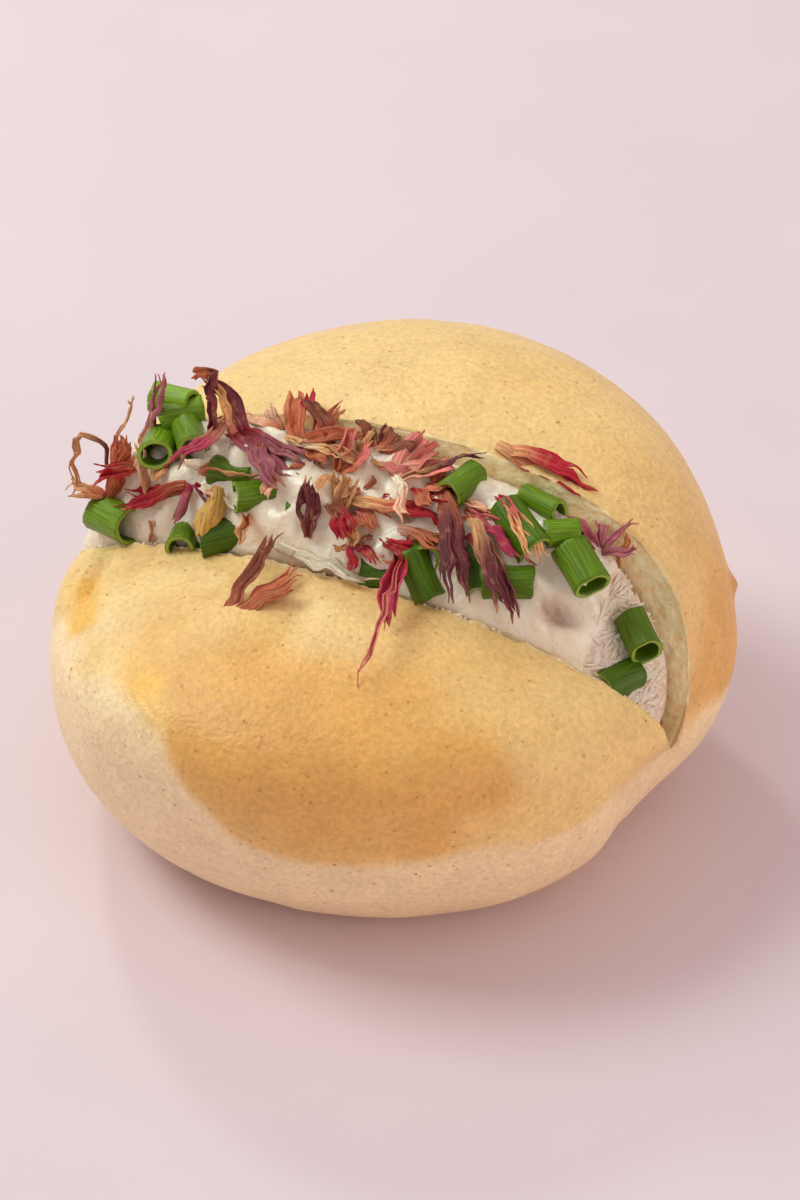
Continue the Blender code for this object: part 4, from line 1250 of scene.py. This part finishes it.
def petal_bits(count, random):
    """Rows for small broken petals, scattered round the roots of the big ones."""
    for _ in range(count):
        near = PETALS[random.integers(len(PETALS))]
        x, y = (near[2 + k] + random.normal(0.0, BIT_SCATTER[k]) for k in (0, 1))
        colour = random.choice(BIT_COLOURS)
        yield (1, 0, x, y, random.uniform(0.0, 0.5), random.uniform(0.0, 360.0),
               random.uniform(*BIT_PITCH), random.uniform(*BIT_LENGTH), random.uniform(*BIT_BEND),
               random.uniform(*BIT_WIDTH), colour, random.choice((colour, "rust", "tan")))


def build_petals(look, filling):
    """All the dried petals, in one mesh, with a colour for every point: from the
    root's colour to the tip's, and more or less tan at the very tip."""
    heap, skin = cream_surface(filling), skin_surface()
    random, fine = np.random.default_rng(SEED), np.random.default_rng(SEED + 2)
    scatter = np.random.default_rng(SEED + 5)
    palette = {name: linear(getattr(look, name)) for name in PETAL_COLOURS}
    placed = [(row, heap, random) for row in PETALS]
    placed += [(row, skin, random) for row in PETALS_ON_BREAD]
    placed += [(row, heap, scatter) for row in petal_bits(look.bit_count, scatter)]
    rings, colours, flows = [], [], []
    for row, surface, draws in placed:
        strips, spread, x, y, lift, heading, pitch, length, bend, width = row[:10]
        first, last = palette[row[10]], palette[row[11]]
        place, _ = seen_from_above(surface, x, y)
        if place is None:
            continue
        root = np.array([x, y, place.z + lift])
        for k in range(strips):
            fan = spread * (k - 0.5 * (strips - 1))
            start = root + direction(heading + fan, 0.0) * (ROOT_SPACING[0] + ROOT_SPACING[1] * k)
            tilt = draws.uniform(-TILT_SPREAD, TILT_SPREAD)
            scale = draws.uniform(*LENGTH_SPREAD)
            twist = draws.uniform(-TWIST_SPREAD, TWIST_SPREAD)
            bright, start_u = fine.uniform(*BRIGHTNESS_SPREAD), fine.uniform(0.0, 40.0)
            for ring, s, v in petal_strands(start, heading + fan, pitch + tilt, length * scale,
                                            bend, width, twist, look, fine):
                shift = np.clip(s + fine.uniform(-0.1, 0.1), 0.0, 1.0)
                tone = first + (last - first) * smooth_step(0.05, 0.55, shift)[:, None]
                dry = smooth_step(0.9, 1.0, s)[:, None] * fine.uniform(0.0, TIP_DRYNESS)
                tone = (tone * (1.0 - dry) + palette["tan"] * dry) * bright
                rings.append(ring)
                colours.append(np.broadcast_to(tone[:, None], ring.shape))
                flows.append(np.stack([np.broadcast_to(s[:, None] + start_u, v.shape), v], -1))
    points, faces = joined_tubes(np.stack(rings))
    make_piece("dried_petals", points, [faces], petal_material(),
               (("petal_colour", np.stack(colours).reshape(-1, 3)),),
               np.stack(flows).reshape(-1, 2))


def joined_tubes(rings):
    """Points and faces of many closed tubes of alike rings, with a flat end at each
    side made of quads across the ring."""
    count, steps, sides = rings.shape[:3]
    k = np.arange(sides // 2 - 1)
    end = np.stack([k, k + 1, sides - 2 - k, sides - 1 - k], -1)
    one = np.concatenate([ring_faces(steps, sides), end[:, ::-1], end + (steps - 1) * sides])
    return rings.reshape(-1, 3), repeated(one, count, steps * sides)


def build_shreds(look):
    """Shreds of tuna on the looser right-hand part: thin tapered rods along short
    bending paths that lie sunk in the filling."""
    heap, smooth = cream_surface(look), core_surface()
    random = np.random.default_rng(SEED + 3)
    steps, sides = SHRED_GRID
    s = np.linspace(0.0, 1.0, steps)
    turn = once_round(sides)
    rings = []
    for _ in range(look.shred_count):
        x, y = random.uniform(*SHRED_X), random.uniform(*SHRED_Y)
        place, _ = seen_from_above(heap, x, y)
        under, normal = seen_from_above(smooth, x, y)
        if place is None or under is None or abs(normal.z) < STEEPEST_BED:
            continue
        normal = np.array(normal) * np.sign(normal.z)
        length, radius = random.uniform(*SHRED_LENGTH), random.uniform(*SHRED_RADIUS)
        way = direction(random.normal(*SHRED_HEADING), 0.0)
        way = unit(way - normal * way.dot(normal))
        side = np.cross(normal, way)
        bend = random.uniform(-SHRED_BEND, SHRED_BEND) * (2.0 * s - 1.0) ** 2
        lift = random.uniform(*SHRED_LIFT)
        lift = lift + SHRED_ARCH * np.sin(math.pi * s * random.uniform(0.8, 1.4))
        path = (np.array(place) + way * ((s - 0.5) * length)[:, None]
                + side * bend[:, None] + normal * lift[:, None])
        taper = radius * (SHRED_TIP + (1.0 - SHRED_TIP) * np.sin(math.pi * s) ** 0.5)
        circle = np.cos(turn)[:, None] * side + SHRED_FLATNESS * np.sin(turn)[:, None] * normal
        rings.append(path[:, None] + circle[None] * taper[:, None, None])
    points, faces = joined_tubes(np.stack(rings))
    make_piece("tuna_shreds", points, [faces], shred_material(look))


def crumb_material(look):
    """Pale torn crumb."""
    made, tree, shader, place = new_material("torn_crumb", 0.7, 1.4, 0.15, 0.001)
    colour = blend_node(tree, noise_node(tree, place, 1500.0), look.underside, look.torn)
    dress(tree, shader, colour, noise_node(tree, place, 2500.0), 0.1)
    return made


def crumb_angle(share, random):
    """A random angle on the front rim for the crumb at this share of all crumbs."""
    for limit, middle, spread in CRUMB_PLACES:
        if share < limit:
            return -random.normal(middle, spread)
    return -random.uniform(*CRUMB_RANGE)


def build_crumbs(look):
    """Torn crumbs along the edge of the cut: small balls of rings of points, pushed
    in and out by soft noise. They sit on the rim, more of them where it is frayed."""
    random = np.random.default_rng(SEED + 4)
    steps, sides = CRUMB_GRID
    polar = np.linspace(0.12, math.pi - 0.12, steps)
    turn = once_round(sides)
    ball = np.stack([np.sin(polar)[:, None] * np.cos(turn),
                     np.sin(polar)[:, None] * np.sin(turn),
                     np.cos(polar)[:, None] * np.ones(sides)], axis=-1)
    balls = []
    for number in range(look.crumb_count):
        phi = np.array([crumb_angle(number / look.crumb_count, random)])
        middle = rim(phi)[0]
        inwards = unit(cut_floor(phi)[0] - middle)
        middle = middle + inwards * random.uniform(*CRUMB_INWARDS)
        middle = middle + random.normal(0.0, CRUMB_SCATTER, 3)
        shape = ball * random.uniform(*CRUMB_SIZE) * random.uniform(*CRUMB_STRETCH, 3)
        shape = shape * (1.0 + CRUMB_LUMPS * cloud(shape + number * 7.0, 0.25, 61))[..., None]
        balls.append(middle + shape)
    points, faces = joined_tubes(np.stack(balls))
    make_piece("bread_crumbs", points, [faces], crumb_material(look))


def floor_material(look):
    """Plain pale pink, very faintly mottled."""
    made, tree, shader, place = new_material("pale_floor", 0.6, 1.35)
    cloudy = step_node(tree, noise_node(tree, place, 25.0, 3.0), 0.3, 0.7, 0.985, 1.015)
    dress(tree, shader, shade_node(tree, look.floor_colour, cloudy))
    return made


def build_floor(look):
    """One flat square under the bun."""
    half = FLOOR_HALF_WIDTH_M
    mesh = bpy.data.meshes.new("floor")
    corners = [(-half, -half, 0.0), (half, -half, 0.0), (half, half, 0.0), (-half, half, 0.0)]
    mesh.from_pydata(corners, [], [(0, 1, 2, 3)])
    mesh.materials.append(floor_material(look))
    piece = bpy.data.objects.new("floor", mesh)
    bpy.context.scene.collection.objects.link(piece)


def add_light(name, back, distance, size, power, colour):
    """A square soft light that faces the bun's middle from a direction."""
    data = bpy.data.lights.new(name, "AREA")
    data.shape = "SQUARE"
    data.size = size
    data.energy = power
    data.color = colour
    lamp = bpy.data.objects.new(name, data)
    lamp.location = Vector(LIGHT_AIM) + back.normalized() * distance
    lamp.rotation_mode = "QUATERNION"
    lamp.rotation_quaternion = back.to_track_quat("Z", "Y")
    bpy.context.scene.collection.objects.link(lamp)


def raised(level, degrees):
    """A level direction tilted up by an angle."""
    tilt = math.radians(degrees)
    return level.normalized() * math.cos(tilt) + Vector((0.0, 0.0, math.sin(tilt)))


def build_lights(look):
    """A soft light from the camera's left, a bigger and lower one from its right and
    in front, a very big one overhead, a small one from behind for the gloss, and an
    even surround."""
    turn = math.radians(look.azimuth)
    right = Vector((math.cos(turn), math.sin(turn), 0.0))
    away = Vector((-math.sin(turn), math.cos(turn), 0.0))
    up = Vector((0.0, 0.0, 1.0))
    behind_left = away * GLOSS_WAY[0] - right * GLOSS_WAY[1] + up * GLOSS_WAY[2]
    add_light("key_light", raised(away * look.key_behind - right, look.key_elevation),
              NEAR_LIGHT, look.key_size, look.key_power, look.key_colour)
    add_light("side_light", raised(right - away * look.side_front, look.side_elevation),
              FAR_LIGHT, look.side_size, look.side_power, look.side_colour)
    add_light("top_light", (up + away * look.top_behind).normalized(),
              FAR_LIGHT, look.top_size, look.top_power, look.top_colour)
    add_light("gloss_light", behind_left,
              NEAR_LIGHT, look.gloss_size, look.gloss_power, look.key_colour)
    world = bpy.data.worlds.new("studio")
    world.use_nodes = True
    surround = world.node_tree.nodes["Background"]
    surround.inputs["Color"].default_value = (*look.surround_colour, 1.0)
    surround.inputs["Strength"].default_value = look.surround_strength
    bpy.context.scene.world = world


def build_camera(look):
    """The camera: the aim lies at the picture's middle, at a set distance. The sensor's
    width goes with the picture's longer side, and shows the frame height there."""
    turn, tilt = math.radians(look.azimuth), math.radians(look.elevation)
    right = Vector((math.cos(turn), math.sin(turn), 0.0))
    back = Vector((math.sin(turn) * math.cos(tilt), -math.cos(turn) * math.cos(tilt),
                   math.sin(tilt)))
    up = back.cross(right)
    aim = Vector((0.0, 0.0, look.aim_height)) + right * look.aim_right - up * look.aim_down
    data = bpy.data.cameras.new("camera")
    data.sensor_width = SENSOR_MM
    data.lens = SENSOR_MM * look.distance / look.frame_height
    data.clip_start, data.clip_end = 0.02, 10.0
    camera = bpy.data.objects.new("camera", data)
    camera.location = aim + back * look.distance
    camera.rotation_mode = "QUATERNION"
    camera.rotation_quaternion = back.to_track_quat("Z", "Y")
    bpy.context.scene.collection.objects.link(camera)
    bpy.context.scene.camera = camera


def colour_property(name, text, value):
    """A colour setting, given as a screen colour of 0 to 255."""
    return FloatVectorProperty(name=name, description=text, subtype="COLOR", size=3,
                               min=0.0, max=1.0, default=tuple(linear(value)))


def screen_property(name, text, value):
    """A colour setting kept as screen values of 0 to 255."""
    return FloatVectorProperty(name=name, description=text, size=3, default=value)


def light_property(name, text, value):
    """The colour of a light, in linear values of 0 to 1."""
    return FloatVectorProperty(name=name, description=text, subtype="COLOR", size=3,
                               default=value)


def count_property(name, text, value):
    """A whole number."""
    return IntProperty(name=name, description=text, default=value)


def number_property(name, text, value, **limits):
    """A plain number, with limits where it has any."""
    return FloatProperty(name=name, description=text, default=value, **limits)


def length_property(name, text, value):
    """A length in metres."""
    return FloatProperty(name=name, description=text, default=value, unit="LENGTH")


class BreadSettings(bpy.types.PropertyGroup):
    crust: colour_property("Crust", "Pale golden crust", (248, 208, 136))
    underside: colour_property("Underside", "Paler bread low on the bun", (255, 223, 174))
    golden: colour_property("Golden", "Deeper golden crust", (236, 178, 94))
    toasted: colour_property("Toasted", "Browner places of the crust", (220, 160, 90))
    yellow: colour_property("Yellow", "Yellower folds of the crust", (246, 192, 92))
    speck: colour_property("Specks", "Bran specks in the crust", (184, 110, 46))
    crumb: colour_property("Crumb", "Bread on the face of the cut", (255, 238, 190))
    # Painted shade for the pores of the cut crumb.
    crumb_shade: colour_property("Crumb shade", "Deeper crumb on the cut", (255, 216, 150))
    torn: colour_property("Torn crumb", "Torn crumbs on the edge", (250, 236, 212))
    roughness: number_property("Roughness", "Roughness of the crust", 0.36, min=0.0, max=1.0)
    grain_height: number_property("Grain height", "Height of the skin's grain in mm", 0.21, min=0.0)
    sides: count_property("Sides", "Points round the bun", 440)
    low_rings: count_property("Low rings", "Rings below the widest part", 60)
    high_rings: count_property("High rings", "Rings above the widest part", 110)
    wall_rings: count_property("Wall rings", "Rings down the cut", 52)
    crumb_count: count_property("Crumbs", "Torn crumbs on the edges", 150)


class FillingSettings(bpy.types.PropertyGroup):
    cream: colour_property("Cream", "Mayonnaise", (255, 240, 216))
    cream_shade: colour_property("Cream shade", "Mayonnaise, duller parts", (252, 230, 200))
    tuna: colour_property("Tuna", "Flaked tuna", (248, 226, 208))
    tuna_shade: colour_property("Tuna shade", "Darker tuna", (230, 194, 168))
    # Painted shade laid in the cream's hollow.
    hollow: colour_property("Hollow", "Tuna deep in a hollow", (126, 82, 38))
    cream_roughness: number_property("Cream roughness", "Roughness of the cream", 0.22, min=0.0, max=1.0)
    stations: count_property("Stations", "Loops along the cut", 440)
    across_steps: count_property("Across", "Points across the top", 170)
    wall_steps: count_property("Wall", "Points down a wall", 18)
    shred_count: count_property("Shreds", "Shreds of tuna", 560)


class ToppingSettings(bpy.types.PropertyGroup):
    # Dark and light green are partly the onion's own greens and partly painted shade and painted light.
    dark_green: colour_property("Dark green", "Darker onion tubes", (32, 62, 0))
    light_green: colour_property("Light green", "Lighter onion tubes", (124, 160, 24))
    inside_green: colour_property("Inside green", "Bore of a tube", (76, 108, 6))
    end_green: colour_property("End green", "Cut end of a tube", (150, 176, 60))
    chive_share: number_property("Tube share", "Radius as a share of its own", 0.93)
    chive_sides: count_property("Tube sides", "Points round a tube", 44)
    chive_steps: count_property("Tube steps", "Rings along a tube", 14)
    petal_steps: count_property("Petal steps", "Steps along a strand", 18)
    petal_folds: count_property("Petal folds", "Steps across a strand", 5)
    bit_count: count_property("Petal bits", "Small broken petals", 44)
    petal_crumple: number_property("Petal crumple", "Crumpling of a petal in mm", 0.2)
    petal_crinkle: number_property("Petal crinkle", "Bends of a petal in mm", 0.22)
    petal_thickness: number_property("Petal thickness", "Thickness in mm", 0.14)
    crimson: screen_property("Crimson", "Petal colour", (178, 34, 48))
    magenta: screen_property("Magenta", "Petal colour", (192, 60, 90))
    pink: screen_property("Pink", "Petal colour", (228, 130, 118))
    rust: screen_property("Rust", "Petal colour", (202, 112, 76))
    brown: screen_property("Brown", "Petal colour", (150, 84, 62))
    tan: screen_property("Tan", "Petal colour", (224, 166, 112))
    cream: screen_property("Cream", "Petal colour", (252, 236, 204))
    gold: screen_property("Gold", "Petal colour", (200, 158, 80))
    peach: screen_property("Peach", "Petal colour", (238, 180, 146))
    plum: screen_property("Plum", "Petal colour", (116, 54, 60))
    mauve: screen_property("Mauve", "Petal colour", (176, 96, 108))
    orange: screen_property("Orange", "Petal colour", (228, 150, 86))


class StageSettings(bpy.types.PropertyGroup):
    floor_colour: colour_property("Floor", "Colour of the floor", (229, 210, 215))
    azimuth: number_property("Azimuth", "Camera's turn in degrees", 23.3)
    elevation: number_property("Elevation", "Camera's rise in degrees", 39.4)
    distance: length_property("Distance", "Camera to aim", 0.52)
    frame_height: length_property("Frame height", "Height seen at the aim", 0.13333)
    aim_height: length_property("Aim height", "Height of the aim", 0.024)
    aim_right: length_property("Aim right", "Aim moved to the right", 0.001556)
    aim_down: length_property("Aim down", "Aim moved down", 0.001389)
    key_elevation: number_property("Key elevation", "Rise of the key light", 50.0)
    key_behind: number_property("Key behind", "How far behind the bun it stands", 0.3)
    key_size: length_property("Key size", "Side of the key light", 0.36)
    key_power: number_property("Key power", "Power of the key light", 4.1)
    key_colour: light_property("Key colour", "Colour of the key light", (0.88, 1.0, 0.95))
    top_behind: number_property("Top behind", "How far back it stands", 0.1)
    top_size: length_property("Top size", "Side of the overhead light", 1.1)
    top_power: number_property("Top power", "Power of the overhead light", 1.1)
    top_colour: light_property("Top colour", "Colour of the overhead light", (1.0, 0.96, 0.96))
    gloss_size: length_property("Gloss size", "Side of the gloss light", 0.09)
    gloss_power: number_property("Gloss power", "Power of the gloss light", 1.3)
    side_elevation: number_property("Side elevation", "Rise of the side light", 16.0)
    side_front: number_property("Side front", "How far in front it stands", 0.6)
    side_size: length_property("Side size", "Side of the side light", 0.6)
    side_power: number_property("Side power", "Power of the side light", 2.6)
    side_colour: light_property("Side colour", "Colour of the side light", (1.0, 0.87, 0.78))
    surround_colour: light_property("Surround", "Colour of the surround", (1.0, 0.9, 0.92))
    surround_strength: number_property("Surround strength", "Brightness of the surround", 0.47)


class OBJECT_OT_bun_bread(bpy.types.Operator):
    """Build the bread of the bun, with its cut."""

    bl_idname = "object.bun_bread"
    bl_label = "Bread"

    def execute(self, context):
        build_bun(context.scene.bun_bread)
        return {"FINISHED"}


class OBJECT_OT_bun_filling(bpy.types.Operator):
    """Build the tuna mayonnaise in the cut."""

    bl_idname = "object.bun_filling"
    bl_label = "Filling"

    def execute(self, context):
        build_filling(context.scene.bun_filling)
        return {"FINISHED"}


class OBJECT_OT_bun_shreds(bpy.types.Operator):
    """Build the loose shreds of tuna."""

    bl_idname = "object.bun_shreds"
    bl_label = "Tuna Shreds"

    def execute(self, context):
        build_shreds(context.scene.bun_filling)
        return {"FINISHED"}


class OBJECT_OT_bun_onion(bpy.types.Operator):
    """Build the cut onion tubes."""

    bl_idname = "object.bun_onion"
    bl_label = "Onion Tubes"

    def execute(self, context):
        build_chives(context.scene.bun_toppings)
        return {"FINISHED"}


class OBJECT_OT_bun_petals(bpy.types.Operator):
    """Build the dried petals."""

    bl_idname = "object.bun_petals"
    bl_label = "Dried Petals"

    def execute(self, context):
        build_petals(context.scene.bun_toppings, context.scene.bun_filling)
        return {"FINISHED"}


class OBJECT_OT_bun_crumbs(bpy.types.Operator):
    """Build the torn crumbs on the edges of the cut."""

    bl_idname = "object.bun_crumbs"
    bl_label = "Crumbs"

    def execute(self, context):
        build_crumbs(context.scene.bun_bread)
        return {"FINISHED"}


class OBJECT_OT_bun_stage(bpy.types.Operator):
    """Build the floor, the lights and the camera."""

    bl_idname = "object.bun_stage"
    bl_label = "Stage"

    def execute(self, context):
        look = context.scene.bun_stage
        build_floor(look)
        build_lights(look)
        build_camera(look)
        context.scene.view_settings.view_transform = "Standard"
        return {"FINISHED"}


STEPS = (OBJECT_OT_bun_bread, OBJECT_OT_bun_filling, OBJECT_OT_bun_shreds,
         OBJECT_OT_bun_onion, OBJECT_OT_bun_petals, OBJECT_OT_bun_crumbs,
         OBJECT_OT_bun_stage)
SETTINGS = {"bun_bread": BreadSettings, "bun_filling": FillingSettings,
            "bun_toppings": ToppingSettings, "bun_stage": StageSettings}


class VIEW3D_PT_tuna_bun(bpy.types.Panel):
    """Lists the steps that build the bun."""

    bl_label = "Tuna Bun"
    bl_idname = "VIEW3D_PT_tuna_bun"
    bl_space_type = "VIEW_3D"
    bl_region_type = "UI"
    bl_category = "Tuna Bun"

    def draw(self, context):
        for step in STEPS:
            self.layout.operator(step.bl_idname)


def register():
    """Register the settings, the steps and the panel."""
    for name, kind in SETTINGS.items():
        bpy.utils.register_class(kind)
        setattr(bpy.types.Scene, name, PointerProperty(type=kind))
    for kind in (*STEPS, VIEW3D_PT_tuna_bun):
        bpy.utils.register_class(kind)


def unregister():
    """Take away what register added."""
    for kind in reversed((*STEPS, VIEW3D_PT_tuna_bun)):
        bpy.utils.unregister_class(kind)
    for name, kind in SETTINGS.items():
        delattr(bpy.types.Scene, name)
        bpy.utils.unregister_class(kind)


def main():
    """Run every step."""
    register()
    for step in STEPS:
        group, name = step.bl_idname.split(".")
        getattr(getattr(bpy.ops, group), name)()


if __name__ == "__main__":
    main()
